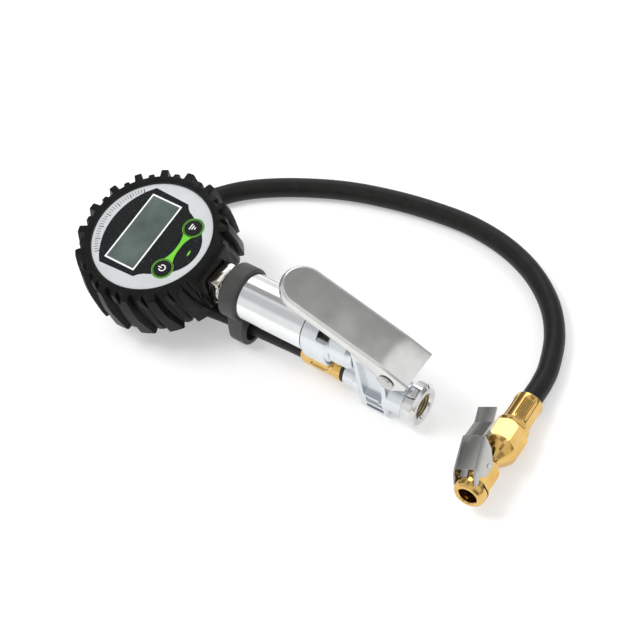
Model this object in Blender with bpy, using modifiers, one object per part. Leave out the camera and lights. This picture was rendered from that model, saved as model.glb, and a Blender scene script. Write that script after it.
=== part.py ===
"""Digital tyre inflator with a pressure gauge, trigger lever, hose and clip-on chuck.

Lengths are in millimetres; the mesh helpers turn them into metres with MM.
Frame: +X runs along the handle from the gauge to the air inlet, +Z is up, on the side of
the lever and of the gauge's face, and the table is z = 0.  The figures below are measured
from under the clip, on the handle's middle plane; ORIGIN_SHIFT then puts the origin under
the middle of the tool's own box, the hose and chuck not counted.
"""
import math

import bmesh
import bpy
from mathutils import Matrix, Vector

MM = 0.001

# ---- driving dimensions, mm --------------------------------------------------------
ORIGIN_SHIFT = (0.5, 0.1, 0.0)   # puts the origin under the middle of the tool's box
GAP = 0.3                 # clearance between separate pieces
INLET_Z = 11.0            # height of the lower axis: inlet, hose port, hose
TUBE_Z = 33.2             # height of the upper axis: handle tube, stem
INLET_X = 97.7            # face of the air inlet

TUBE_R = 12.1
TUBE_WALL = 2.0
TUBE_START = -13.5
TUBE_END = 37.0

HEAD_X = -57.7            # centre of the gauge's face
HEAD_LIFT = 14.8          # face centre above the tube's axis, along the face's normal
HEAD_TILT = math.radians(8.2)
FACE_R = 31.9
CASE_R = 32.0
CASE_WALL = 2.2
CASE_BACK = -24.0
BOOT_R = 41.0             # widest reach of the tall tread blocks
BOOT_LOW_R = 38.6         # reach of the short tread blocks between them
BOOT_WALL_R = 36.8        # round wall between the blocks
BOOT_OPENING_R = 31.3
BOOT_BACK = -26.6
TREAD_COUNT = 17
STEM_FLAT = 36.7          # boot's flat at the stem, from the head's centre

LCD_W = 38.8              # window opening in the face
LCD_H = 15.9
LCD_UP = 5.4              # window's centre above the face's centre
BUTTON_X = 13.1
BUTTON_Y = -16.6
BUTTON_R = 4.5
RING_R = 5.9              # black field around a button
SCREW_PLACES = [(0, 26.4), (-25.0, -9.2), (25.0, -9.2)]
COVER_Y = 3.0             # middle of the battery door on the case's back
CELL_PLACES = (-3.0, 8.6)
CELL_LEVEL = -15.0

SQUARE = 15.4             # across the flats of the stem's square
SQUARE_START = -20.7
SQUARE_END = -14.0

CLIP_START = -10.4
CLIP_END = -0.9
CLIP_R = 13.4

BLOCK_START = 64.5
BLOCK_END = 82.0
BLOCK_TOP = 40.0
BLOCK_HALF = 8.6
NECK_R = 9.0
BOSS_R = 11.0
BOSS_LENGTH = 7.6
BORE_R = 5.9
MOUTH_R = 7.0

PIVOT_X = 86.0
PIVOT_Z = 36.8
LEVER_ANGLE = math.radians(20.0)
LEVER_TOP_Z = 41.2        # top face of the lever's plate where it ends over the inlet
LEVER_LENGTH = 77.0
LEVER_HALF = 11.5
LEVER_SHEET = 1.3
LEVER_RIM = 5.2

PLUNGER_X = 72.5
PLUNGER_R = 2.6

HOSE_R = 5.25
PORT_R = 7.4
FERRULE_R = 6.7
WASHER_X = 54.6

CHUCK_START = (137.2, 33.8, 7.2)
CHUCK_AZIMUTH = math.radians(3.7)
CHUCK_RISE = math.radians(6.0)
CHUCK_ROLL = math.radians(30.0)
CHUCK_LENGTH = 67.4
CHUCK_HEX = 17.0
CHUCK_PIVOT_T = 52.5
CHUCK_PIVOT_H = 5.0
CLIP_HALF = 6.4            # half the width of the chuck's clip lever
CLIP_SHEET = 0.9

# The hose's centre line from inside the near ferrule to inside the far one.
HOSE_ROUTE = [
    (44.0, 0.0, 11.0), (37.0, 0.0, 11.0), (27.0, 0.0, 10.9), (10.0, -0.3, 10.3),
    (-5.6, -0.6, 9.6), (-22.0, -0.9, 8.1), (-37.0, -1.3, 6.2), (-50.0, -0.3, 5.5),
    (-63.0, 4.6, 5.3), (-74.0, 13.0, 5.3), (-81.4, 24.6, 5.3), (-83.4, 38.0, 5.3),
    (-80.6, 51.0, 5.3), (-73.0, 63.4, 5.3), (-61.0, 75.4, 5.3), (-42.0, 87.6, 5.3),
    (-17.0, 99.0, 5.3), (8.0, 106.0, 5.3), (33.0, 110.0, 5.3), (57.0, 111.0, 5.3),
    (80.0, 107.0, 5.3), (100.0, 98.4, 5.3), (116.6, 85.4, 5.3), (127.8, 70.0, 5.3),
    (134.6, 52.6, 5.6), (136.6, 42.0, 6.3), (137.2, 33.8, 7.2), (138.1, 19.6, 8.7),
]
HOSE_STEP = 21.0          # a point of the tube every two diameters of its route

COLLECTION = "tire_pressure_gauge"


# ---- scene and materials -----------------------------------------------------------
def clear_scene():
    for obj in list(bpy.data.objects):
        bpy.data.objects.remove(obj, do_unlink=True)
    for group in list(bpy.data.collections):
        bpy.data.collections.remove(group)


def make_collection(name):
    group = bpy.data.collections.new(name)
    bpy.context.scene.collection.children.link(group)
    return group


def make_material(name, colour, roughness, metallic=0.0, alpha=1.0):
    material = bpy.data.materials.new(name)
    material.use_nodes = True
    shader = material.node_tree.nodes["Principled BSDF"]
    shader.inputs["Base Color"].default_value = (*colour, 1.0)
    shader.inputs["Roughness"].default_value = roughness
    shader.inputs["Metallic"].default_value = metallic
    shader.inputs["Alpha"].default_value = alpha
    return material


clear_scene()
PARTS = make_collection(COLLECTION)
CUTTERS = make_collection("cutters")

CHROME = make_material("chrome", (0.86, 0.87, 0.88), 0.08, 1.0)
SATIN = make_material("satin_casting", (0.72, 0.75, 0.78), 0.25, 1.0)
STEEL = make_material("steel", (0.45, 0.45, 0.44), 0.3, 1.0)
NICKEL = make_material("nickel", (0.62, 0.6, 0.52), 0.25, 1.0)
BRASS = make_material("brass", (0.8, 0.58, 0.25), 0.2, 1.0)
RUBBER = make_material("rubber", (0.012, 0.012, 0.012), 0.6)
CLIP_GREY = make_material("clip_grey", (0.06, 0.06, 0.058), 0.5)
PLASTIC = make_material("black_plastic", (0.015, 0.016, 0.017), 0.35)
FACE_SILVER = make_material("face_silver", (0.5, 0.53, 0.53), 0.4)
PANEL_BLACK = make_material("panel_black", (0.012, 0.013, 0.014), 0.25)
LCD_GREY = make_material("lcd", (0.13, 0.17, 0.15), 0.4)
CLEAR = make_material("clear", (0.9, 0.92, 0.92), 0.05, 0.0, 0.3)
BOARD = make_material("board", (0.02, 0.2, 0.06), 0.5)
CELL = make_material("cell", (0.2, 0.25, 0.4), 0.35)
TAPE = make_material("tape", (0.85, 0.85, 0.82), 0.6)
SEAL = make_material("seal", (0.02, 0.02, 0.02), 0.55)


# ---- frames ------------------------------------------------------------------------
def make_empty(name, matrix):
    empty = bpy.data.objects.new(name, None)
    PARTS.objects.link(empty)
    empty.matrix_world = Matrix.Translation(Vector(ORIGIN_SHIFT) * MM) @ matrix
    return empty


def frame_at(x_axis, y_axis, z_axis, at):
    matrix = Matrix((x_axis, y_axis, z_axis)).transposed().to_4x4()
    matrix.translation = Vector(at) * MM
    return matrix


def head_frame():
    """X across the face, Y up the face away from the handle, Z out of the face."""
    across = Vector((0, math.cos(HEAD_TILT), math.sin(HEAD_TILT)))
    normal = Vector((0, -math.sin(HEAD_TILT), math.cos(HEAD_TILT)))
    centre = Vector((HEAD_X, 0, TUBE_Z)) + normal * HEAD_LIFT
    return frame_at(across, Vector((-1, 0, 0)), normal, centre)


def lever_frame(at=(INLET_X, 0, LEVER_TOP_Z)):
    """X up the lever towards the gauge, Y across it, Z out of its top face."""
    along = Vector((-math.cos(LEVER_ANGLE), 0, math.sin(LEVER_ANGLE)))
    normal = Vector((math.sin(LEVER_ANGLE), 0, math.cos(LEVER_ANGLE)))
    return frame_at(along, normal.cross(along), normal, at)


def chuck_frame():
    """Z along the chuck from the hose to the mouth, Y on the side of its clip."""
    flat = math.cos(CHUCK_RISE)
    axis = Vector((math.sin(CHUCK_AZIMUTH) * flat, -math.cos(CHUCK_AZIMUTH) * flat,
                   math.sin(CHUCK_RISE)))
    side = axis.cross(Vector((0, 0, 1))).normalized()
    up = side.cross(axis)
    clip_side = up * math.cos(CHUCK_ROLL) + side * math.sin(CHUCK_ROLL)
    return frame_at(clip_side.cross(axis), clip_side, axis, CHUCK_START)


def axis_frame(height):
    """Z along the handle at a height above the table, X down, Y across."""
    return frame_at(Vector((0, 0, -1)), Vector((0, 1, 0)), Vector((1, 0, 0)), (0, 0, height))


HEAD = make_empty("head_frame", head_frame())
LEVER = make_empty("lever_frame", lever_frame())
CHUCK = make_empty("chuck_frame", chuck_frame())
UPPER = make_empty("upper_axis", axis_frame(TUBE_Z))
LOWER = make_empty("lower_axis", axis_frame(INLET_Z))
WORLD = make_empty("tool_frame", Matrix.Identity(4))

# Turns of a plate's outline: drawn as (X, Z) and thick along -Y, or as (Y, Z) and thick along X.
UPRIGHT = Matrix.Rotation(math.pi / 2, 4, "X")
SIDE_ON = Matrix(((0, 0, 1, 0), (1, 0, 0, 0), (0, 1, 0, 0), (0, 0, 0, 1)))


# ---- modelling helpers, in mm ------------------------------------------------------
def add_object(name, mesh, material, frame, group=None):
    obj = bpy.data.objects.new(name, mesh)
    (group or PARTS).objects.link(obj)
    obj.parent = frame
    if material:
        mesh.materials.append(material)
    if group == CUTTERS:
        obj.hide_render = True
        obj.display_type = "WIRE"
    return obj


def smooth(obj, angle=35.0):
    obj.data.shade_smooth()
    obj.data.set_sharp_from_angle(angle=math.radians(angle))


def box(name, size, centre, material=None, frame=WORLD, group=None, bevel=0.0):
    """A box of a given size about a centre in a frame."""
    bm = bmesh.new()
    bmesh.ops.create_cube(bm, size=1.0)
    bmesh.ops.scale(bm, vec=Vector(size) * MM, verts=bm.verts)
    bmesh.ops.translate(bm, vec=Vector(centre) * MM, verts=bm.verts)
    mesh = bpy.data.meshes.new(name)
    bm.to_mesh(mesh)
    bm.free()
    obj = add_object(name, mesh, material, frame, group)
    if bevel:
        edge = obj.modifiers.new("edges", "BEVEL")
        edge.width = bevel * MM
        edge.segments = 2
    return obj


def rod(name, radius, start, end, at=(0, 0), axis="Z", material=None, frame=WORLD,
        group=None, sides=32):
    """A cylinder between two stations of an axis; at gives its place on the other two."""
    bm = bmesh.new()
    bmesh.ops.create_cone(bm, cap_ends=True, segments=sides, radius1=radius * MM,
                          radius2=radius * MM, depth=(end - start) * MM)
    turn = {"X": Matrix.Rotation(math.pi / 2, 4, "Y"),
            "Y": Matrix.Rotation(-math.pi / 2, 4, "X"),
            "Z": Matrix.Identity(4)}[axis]
    middle = (start + end) / 2
    place = {"X": (middle, *at), "Y": (at[0], middle, at[1]), "Z": (*at, middle)}[axis]
    bmesh.ops.transform(bm, matrix=Matrix.Translation(Vector(place) * MM) @ turn, verts=bm.verts)
    mesh = bpy.data.meshes.new(name)
    bm.to_mesh(mesh)
    bm.free()
    obj = add_object(name, mesh, material, frame, group)
    smooth(obj)
    return obj


def turned(name, profile, material=None, frame=WORLD, closed=False, at=(0, 0), group=None,
           steps=28):
    """Turn a profile of (radius, station) points about the frame's Z axis."""
    # The Screw modifier wants the outer side to run downwards, which is clockwise here.
    following = profile[1:] + profile[:1]
    area = sum(r1 * z2 - r2 * z1 for (r1, z1), (r2, z2) in zip(profile, following))
    if area > 0:
        profile = profile[::-1]
    bm = bmesh.new()
    verts = [bm.verts.new((radius * MM, 0, station * MM)) for radius, station in profile]
    for first, second in zip(verts, verts[1:]):
        bm.edges.new((first, second))
    if closed:
        bm.edges.new((verts[-1], verts[0]))
    mesh = bpy.data.meshes.new(name)
    bm.to_mesh(mesh)
    bm.free()
    obj = add_object(name, mesh, material, frame, group)
    obj.location = Vector((*at, 0)) * MM
    screw = obj.modifiers.new("turn", "SCREW")
    screw.angle = math.tau
    screw.steps = steps
    screw.render_steps = steps
    screw.use_merge_vertices = True
    screw.merge_threshold = 0.00001
    return obj


def plate(name, outlines, start, end, material=None, frame=WORLD, group=None, turn=None):
    """A flat outline (or several, the inner ones holes) between two stations of local Z."""
    curve = bpy.data.curves.new(name + "_outline", "CURVE")
    curve.dimensions = "2D"
    curve.fill_mode = "BOTH"
    curve.extrude = (end - start) / 2 * MM
    for outline in outlines:
        spline = curve.splines.new("POLY")
        spline.points.add(len(outline) - 1)
        for point, (x, y) in zip(spline.points, outline):
            point.co = (x * MM, y * MM, 0, 1)
        spline.use_cyclic_u = True
    guide = bpy.data.objects.new(name + "_guide", curve)
    CUTTERS.objects.link(guide)
    graph = bpy.context.evaluated_depsgraph_get()
    mesh = bpy.data.meshes.new_from_object(guide.evaluated_get(graph))
    bpy.data.objects.remove(guide, do_unlink=True)
    bm = bmesh.new()
    bm.from_mesh(mesh)
    bmesh.ops.remove_doubles(bm, verts=bm.verts, dist=0.00001)
    bmesh.ops.translate(bm, vec=(0, 0, (start + end) / 2 * MM), verts=bm.verts)
    if turn:
        bmesh.ops.transform(bm, matrix=turn, verts=bm.verts)
    bmesh.ops.recalc_face_normals(bm, faces=bm.faces)
    bm.to_mesh(mesh)
    bm.free()
    mesh.name = name
    mesh.materials.clear()
    obj = add_object(name, mesh, material, frame, group)
    smooth(obj, 25)
    return obj


def cut(obj, cutter, operation="DIFFERENCE"):
    step = obj.modifiers.new(operation.lower(), "BOOLEAN")
    step.operation = operation
    step.solver = "EXACT"
    step.object = cutter


def join(obj, *others):
    for other in others:
        cut(obj, other, "UNION")


def arc(centre, radius, start, end, count):
    """Points of an arc, with its angles in degrees."""
    points = []
    for index in range(count + 1):
        angle = math.radians(start + (end - start) * index / count)
        points.append((centre[0] + radius * math.cos(angle), centre[1] + radius * math.sin(angle)))
    return points


def rounded(width, height, radius, centre=(0, 0), count=4):
    """Outline of a rectangle with round corners."""
    points = []
    for sign_x, sign_y, start in ((1, 1, 0), (-1, 1, 90), (-1, -1, 180), (1, -1, 270)):
        corner = (centre[0] + sign_x * (width / 2 - radius),
                  centre[1] + sign_y * (height / 2 - radius))
        points += arc(corner, radius, start, start + 90, count)
    return points


def smooth_route(points, step):
    """Points every step of length along a Catmull-Rom curve through the route's points."""
    route = [Vector(point) for point in points]
    fine = []
    for index in range(len(route) - 1):
        before = route[max(index - 1, 0)]
        start, end = route[index], route[index + 1]
        after = route[min(index + 2, len(route) - 1)]
        for part in range(20):
            t = part / 20
            bend = 2 * before - 5 * start + 4 * end - after
            twist = 3 * start - before - 3 * end + after
            fine.append(0.5 * (2 * start + (end - before) * t + bend * t * t + twist * t ** 3))
    fine.append(route[-1])
    total = sum((second - first).length for first, second in zip(fine, fine[1:]))
    count = round(total / step)
    spaced = [fine[0]]
    travelled = 0.0
    for first, second in zip(fine, fine[1:]):
        travelled += (second - first).length
        if travelled >= total * len(spaced) / count - 1e-6:
            spaced.append(second)
    return spaced


# ---- gauge head --------------------------------------------------------------------
def tread_outline():
    """The boot's outline: tall and short tread blocks in turn around a round wall."""
    points = []
    pitch = 360 / TREAD_COUNT
    slope = 1.2
    for index in range(TREAD_COUNT):
        middle = 90 + index * pitch
        for offset, half, radius in ((0, 3.4, BOOT_R), (pitch / 2, 2.5, BOOT_LOW_R)):
            corners = ((-half - slope, BOOT_WALL_R), (-half, radius), (half, radius),
                       (half + slope, BOOT_WALL_R))
            for angle, reach in corners:
                turn = math.radians(middle + offset + angle)
                points.append((reach * math.cos(turn), reach * math.sin(turn)))
    return points


def make_boot():
    """Rubber boot: tread blocks around a barrel, with a flat block where the stem goes in."""
    boot = plate("rubber_boot", [tread_outline()], BOOT_BACK - 1, 2.5, RUBBER, HEAD)
    barrel = [(0, 1.5), (35.4, 1.5), (39.3, 0.9), (40.6, -7), (BOOT_R, -14), (40.6, -22),
              (39.6, BOOT_BACK), (0, BOOT_BACK)]
    fit_r = CASE_R + 0.4
    floor = CASE_BACK - GAP
    inside = [(0, 3), (BOOT_OPENING_R, 3), (BOOT_OPENING_R, GAP), (fit_r, GAP), (fit_r, floor),
              (27, floor), (27, -30), (0, -30)]
    cut(boot, turned("boot_barrel", barrel, None, HEAD, group=CUTTERS, steps=48), "INTERSECT")
    join(boot, box("boot_stem_block", (26.6, 14, 26.4), (0, 7 - STEM_FLAT, -12.8), None, HEAD,
                   CUTTERS))
    cut(boot, box("boot_stem_side", (60, 20, 60), (0, -STEM_FLAT - 10, -10), None, HEAD, CUTTERS))
    cut(boot, turned("boot_inside", inside, None, HEAD, group=CUTTERS, steps=48))
    cut(boot, rod("boot_stem_hole", 7.2, -50, -20, (0, -HEAD_LIFT), "Y", None, HEAD, CUTTERS))


def make_case():
    """Cup behind the face, with a battery opening and three screw holes in its back."""
    inner = CASE_R - CASE_WALL
    floor = CASE_BACK + CASE_WALL
    case = turned("gauge_case", [(inner, -2.2), (CASE_R, -2.2), (CASE_R, CASE_BACK),
                                 (0, CASE_BACK), (0, floor), (inner, floor)],
                  PLASTIC, HEAD, True, steps=40)
    door = (0, COVER_Y, CASE_BACK)
    recess = (0, COVER_Y, CASE_BACK - 0.3)
    cut(case, rod("case_stem_hole", 5.3, -40, -20, (0, -HEAD_LIFT), "Y", None, HEAD, CUTTERS))
    cut(case, box("case_battery_hole", (36, 22, 8), door, None, HEAD, CUTTERS))
    cut(case, box("case_cover_recess", (43.4, 27.4, 2.6), recess, None, HEAD, CUTTERS))
    for index, place in enumerate(SCREW_PLACES):
        cut(case, rod(f"case_hole_{index}", 1.5, -30, -15, place, "Z", None, HEAD, CUTTERS, 20))
        cut(case, rod(f"case_sink_{index}", 2.8, -30, CASE_BACK + 1.2, place, "Z", None, HEAD,
                      CUTTERS, 20))


def make_case_screws():
    under_head = CASE_BACK + 0.9
    profile = [(0, -6), (1.1, -6), (1.1, under_head), (2.4, under_head), (2.4, CASE_BACK),
               (0, CASE_BACK)]
    for index, place in enumerate(SCREW_PLACES):
        turned(f"case_screw_{index + 1}", profile, STEEL, HEAD, at=place, steps=16)


def panel_outline(grow=0.0):
    """Black field of the face: arched over the window, waisted down to the two buttons."""
    g = grow
    corner = math.degrees(math.atan2(25.5, 24.4))
    right = [(23.5 + g, -5.8 - g), (20.0 + g, -8.6 - g), (18.9 + g, -10.8 - g)]
    outline = arc((0, -10.3), 35.3 + g, corner, 180 - corner, 10)
    outline += [(-x, y) for x, y in right]
    outline += arc((-BUTTON_X, BUTTON_Y), RING_R + g, 135, 275, 9)
    outline += arc((0, -11.5), 16.4 + g, 224, 316, 9)
    outline += arc((BUTTON_X, BUTTON_Y), RING_R + g, -95, 45, 9)
    return outline + right[::-1]


def face_holes():
    holes = [rounded(LCD_W, LCD_H, 0.6, (0, LCD_UP), 2)]
    for side in (-1, 1):
        holes.append(arc((side * BUTTON_X, BUTTON_Y), BUTTON_R + GAP, 0, 340, 17))
    return holes


def make_face():
    """Silver face with the black panel let into it, and the window over the display."""
    face = turned("face_plate", [(0, 0), (FACE_R, 0), (FACE_R, -1.9), (0, -1.9)], FACE_SILVER,
                  HEAD, steps=48)
    cut(face, plate("face_pocket", [panel_outline(0.35)], -0.9, 2, None, HEAD, CUTTERS))
    for index, hole in enumerate(face_holes()):
        cut(face, plate(f"face_hole_{index}", [hole], -3, 3, None, HEAD, CUTTERS))
    for index, place in enumerate(SCREW_PLACES):
        join(face, rod(f"face_post_{index}", 2.6, -17.5, -1.5, place, "Z", None, HEAD, CUTTERS, 20))
        cut(face, rod(f"face_bore_{index}", 1.4, -19, -5, place, "Z", None, HEAD, CUTTERS, 16))
    plate("face_panel", [panel_outline()] + face_holes(), -0.6, 0.0, PANEL_BLACK, HEAD)
    glass = rounded(LCD_W - 2 * GAP, LCD_H - 2 * GAP, 0.5, (0, LCD_UP), 2)
    plate("display_window", [glass], -1.4, -0.1, CLEAR, HEAD)


def make_buttons():
    cap = [(0, 0.7), (BUTTON_R - 0.4, 0.7), (BUTTON_R, 0.4), (BUTTON_R, -2.2), (2.0, -2.2),
           (2.0, -2.9), (0, -2.9)]
    for side, name in ((-1, "on"), (1, "func")):
        place = (side * BUTTON_X, BUTTON_Y)
        turned(f"{name}_button", cap, PLASTIC, HEAD, at=place, steps=32)
        box(f"{name}_switch", (6, 6, 2.0), (*place, -5.0), STEEL, HEAD)


def make_head_inside():
    """Display, circuit board, two cells and the battery door."""
    box("lcd_display", (41, 18, 2.4), (0, LCD_UP, -3.5), LCD_GREY, HEAD)
    board = plate("circuit_board", [rounded(46, 40, 5, (0, -1.5))], -7.8, -6.3, BOARD, HEAD)
    for index, place in enumerate(SCREW_PLACES):
        cut(board, rod(f"board_notch_{index}", 3.2, -12, -2, place, "Z", None, HEAD, CUTTERS, 20))
    cell_profile = [(0, 22.2), (1.8, 22.2), (1.8, 21.2), (5.2, 21.2), (5.2, -21.8), (0, -21.8)]
    for index, y in enumerate(CELL_PLACES):
        cell = turned(f"battery_{index + 1}", cell_profile, CELL, HEAD, steps=24)
        place = Matrix.Translation(Vector((0, y, CELL_LEVEL)) * MM)
        cell.matrix_local = place @ Matrix.Rotation(math.pi / 2, 4, "Y")
    box("battery_cover", (42.8, 26.8, 1.3), (0, COVER_Y, CASE_BACK), PLASTIC, HEAD, bevel=0.3)


# ---- stem and handle ---------------------------------------------------------------
def make_stem():
    """Pressure sensor in the head, and the square-shouldered stem that screws into the tube."""
    sensor = HEAD_X + 9.5
    joint = sensor + 12.4
    turned("pressure_sensor", [(0, joint), (5.2, joint), (6.4, joint - 1.4), (6.4, sensor),
                               (0, sensor)], STEEL, UPPER, steps=32)
    shoulder = SQUARE_START + 1
    stem = turned("stem_fitting", [(0, -6.0), (5.9, -6.0), (5.9, shoulder), (6.6, shoulder),
                                   (6.6, -24.0), (4.8, -24.5), (4.8, joint + 0.4),
                                   (0, joint + 0.4)], NICKEL, UPPER)
    square = box("stem_square", (SQUARE, SQUARE, SQUARE_END - SQUARE_START),
                 (0, 0, (SQUARE_START + SQUARE_END) / 2), None, UPPER, CUTTERS, bevel=0.5)
    join(stem, square)
    cut(stem, rod("stem_bore", 1.6, -50, 0, (0, 0), "Z", None, UPPER, CUTTERS, 16))
    turned("thread_tape", [(6.2, -8.5), (6.9, -8.5), (7.3, -13.7), (6.2, -13.7)], TAPE, UPPER,
           True)


def make_tube():
    inner = TUBE_R - TUBE_WALL
    turned("handle_tube", [(inner, TUBE_END), (TUBE_R, TUBE_END), (TUBE_R, -10.9),
                           (TUBE_R - 0.9, -11.9), (9.6, TUBE_START), (7.7, TUBE_START),
                           (7.4, -8.0), (inner, -6.5)], CHROME, UPPER, True, steps=40)


def make_clip():
    """Ring around the tube with a hook below it that holds the hose, open at the far side."""
    ring = arc((0, TUBE_Z), CLIP_R, 0, 351, 39)
    hook = rounded(19.2, 26, 5.5, (-0.4, 13.7), 6)
    clip = plate("hose_clip", [ring], CLIP_START, CLIP_END, CLIP_GREY, WORLD, turn=SIDE_ON)
    join(clip, plate("clip_hook", [hook], CLIP_START, CLIP_END, None, WORLD, CUTTERS, SIDE_ON))
    cut(clip, rod("clip_bore", TUBE_R + GAP, -20, 10, (0, TUBE_Z), "X", None, WORLD, CUTTERS, 40))
    cut(clip, rod("clip_hose_bore", HOSE_R + 0.75, -20, 10, (-0.6, 9.6), "X", None, WORLD, CUTTERS))
    cut(clip, box("clip_mouth", (40, 14, 8.4), (0, 6.4, 9.4), None, WORLD, CUTTERS))


def add_block_solids(block):
    """Ribbed body, hose port and inlet neck, joined to the casting's spigot."""
    side = [(BLOCK_START + 2.2, 1.0), (BLOCK_END, 1.0), (BLOCK_END, 25.0), (PIVOT_X - 4.6, 33.0)]
    side += arc((PIVOT_X, PIVOT_Z), 5.2, 225, 360, 8) + arc((PIVOT_X, PIVOT_Z), 5.2, 20, 90, 4)
    side += [(BLOCK_START, BLOCK_TOP + 2.0)]
    port_face = WASHER_X + 1.1
    port = [(0, 70), (PORT_R, 70), (PORT_R, port_face + 0.5), (PORT_R - 0.5, port_face),
            (0, port_face)]
    back = INLET_X - BOSS_LENGTH
    neck = [(0, INLET_X), (MOUTH_R + 2.6, INLET_X), (BOSS_R, INLET_X - 1.4), (BOSS_R, back + 1.4),
            (BOSS_R - 1.4, back), (NECK_R, back - 0.6), (NECK_R, 78), (0, 78)]
    join(block,
         plate("block_body", [side], -BLOCK_HALF, BLOCK_HALF, None, WORLD, CUTTERS, UPRIGHT),
         turned("block_port", port, None, LOWER, group=CUTTERS),
         turned("block_neck", neck, None, LOWER, group=CUTTERS, steps=36))


def cut_block_sides(block):
    """The recessed panel and the groove below it, on both sides of the body."""
    panel = [(BLOCK_START + 6.0, 11.0), (BLOCK_END - 2.6, 11.0), (BLOCK_END - 2.6, 26.4),
             (PIVOT_X - 7.6, 35.0), (BLOCK_START + 4.2, 37.0)]
    slot = [(BLOCK_START + 5.4, 3.4), (BLOCK_END - 2.2, 3.4), (BLOCK_END - 2.2, 5.6),
            (BLOCK_START + 5.4, 5.6)]
    outside = BLOCK_HALF * 1.2
    for sign, name in ((-1, "near"), (1, "far")):
        for feature, outline, floor in (("recess", panel, 5.4), ("groove", slot, 7.2)):
            low, high = sorted((-sign * outside, -sign * floor))
            cut(block, plate(f"block_{feature}_{name}", [outline], low, high, None, WORLD,
                             CUTTERS, UPRIGHT))


def drill_block(block):
    """Notch, passages and bores; the inlet's bore is the last, as its face is left whole."""
    valve = (PLUNGER_X, 0)
    cut(block, box("block_notch", (7.0, 40, 12), (49.0, 0, TUBE_Z + 11.8), None, WORLD, CUTTERS))
    for name, radius, start, end, at, axis in (
            ("port_bore", 4.3, 20, 63, (0, INLET_Z), "X"),
            ("port_passage", 1.8, 60, PLUNGER_X, (0, INLET_Z), "X"),
            ("valve_bore", 4.6, -2, 30, valve, "Z"),
            ("guide_bore", 4.0, 29, 60, valve, "Z"),
            ("gauge_passage", 1.8, 20, PLUNGER_X - 1, (0, TUBE_Z - 6), "X"),
            ("pivot_bore", 2.3, -20, 20, (PIVOT_X, PIVOT_Z), "Y")):
        cut(block, rod(name, radius, start, end, at, axis, None, WORLD, CUTTERS, 20))
    bore = [(0, INLET_X + 3), (MOUTH_R + 1.7, INLET_X + 3), (BORE_R + 0.3, INLET_X - 1.4),
            (BORE_R - 0.3, INLET_X - 13.0), (2.8, INLET_X - 14.5), (2.8, PLUNGER_X),
            (0, PLUNGER_X)]
    cut(block, turned("inlet_bore", bore, None, LOWER, group=CUTTERS))


def make_block():
    """Casting that carries the valve: spigot, barrel, ribbed block, hose port, inlet."""
    spigot = TUBE_R - TUBE_WALL - GAP
    block = turned("valve_block", [(0, BLOCK_START + 2), (TUBE_R - 2.6, BLOCK_START + 2),
                                   (TUBE_R, BLOCK_START - 1.5), (TUBE_R, TUBE_END + GAP),
                                   (spigot, TUBE_END + GAP), (spigot, TUBE_END - 11),
                                   (0, TUBE_END - 11)], SATIN, UPPER)
    add_block_solids(block)
    cut_block_sides(block)
    drill_block(block)


def wire(name, points, radius, material, frame=WORLD, resolution=2):
    """A round wire or tube along a line of points."""
    curve = bpy.data.curves.new(name, "CURVE")
    curve.dimensions = "3D"
    curve.bevel_depth = radius * MM
    curve.bevel_resolution = resolution
    curve.use_fill_caps = True
    spline = curve.splines.new("POLY")
    spline.points.add(len(points) - 1)
    for point, place in zip(spline.points, points):
        point.co = (*(Vector(place) * MM), 1)
    curve.materials.append(material)
    obj = bpy.data.objects.new(name, curve)
    PARTS.objects.link(obj)
    obj.parent = frame


def coil_points(radius, low, high, turns):
    """(across, along, across) points of a coil spring."""
    count = turns * 8
    points = []
    for index in range(count + 1):
        angle = math.tau * index / 8
        along = low + (high - low) * index / count
        points.append((radius * math.cos(angle), along, radius * math.sin(angle)))
    return points


def make_valve():
    """Plunger under the lever, its bush and seal, the spring below it and the end plug."""
    at = (PLUNGER_X, 0)
    loose = PLUNGER_R + GAP
    turned("valve_plunger", [(0, 48.5), (1.6, 48.0), (PLUNGER_R, 46.8), (PLUNGER_R, 27.2),
                             (3.9, 27.2), (3.9, 24.4), (1.5, 24.4), (1.5, 20.5), (0, 20.5)],
           STEEL, WORLD, at=at)
    turned("valve_bush", [(loose, 43.5), (5.6, 43.5), (5.6, 42.3), (3.7, 42.3), (3.7, 34.2),
                          (loose, 34.2)], BRASS, WORLD, True, at, steps=20)
    turned("bush_seal", [(loose, 33.8), (3.7, 33.8), (3.7, 31.4), (loose, 31.4)], SEAL, WORLD,
           True, at, steps=16)
    turned("valve_plug", [(0, 4.6), (4.3, 4.6), (4.3, 1.4), (0, 1.4)], BRASS, WORLD, at=at)
    coil = [(PLUNGER_X + x, y, z) for x, z, y in coil_points(3.0, 5.7, 23.5, 5)]
    wire("valve_spring", coil, 0.4, STEEL, resolution=1)


# ---- lever -------------------------------------------------------------------------
def lever_outline(half, length, start=0.0):
    end = arc((length - half, 0), half, -90, 90, 16)
    return [(start, -half)] + end + [(start, half)]


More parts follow.
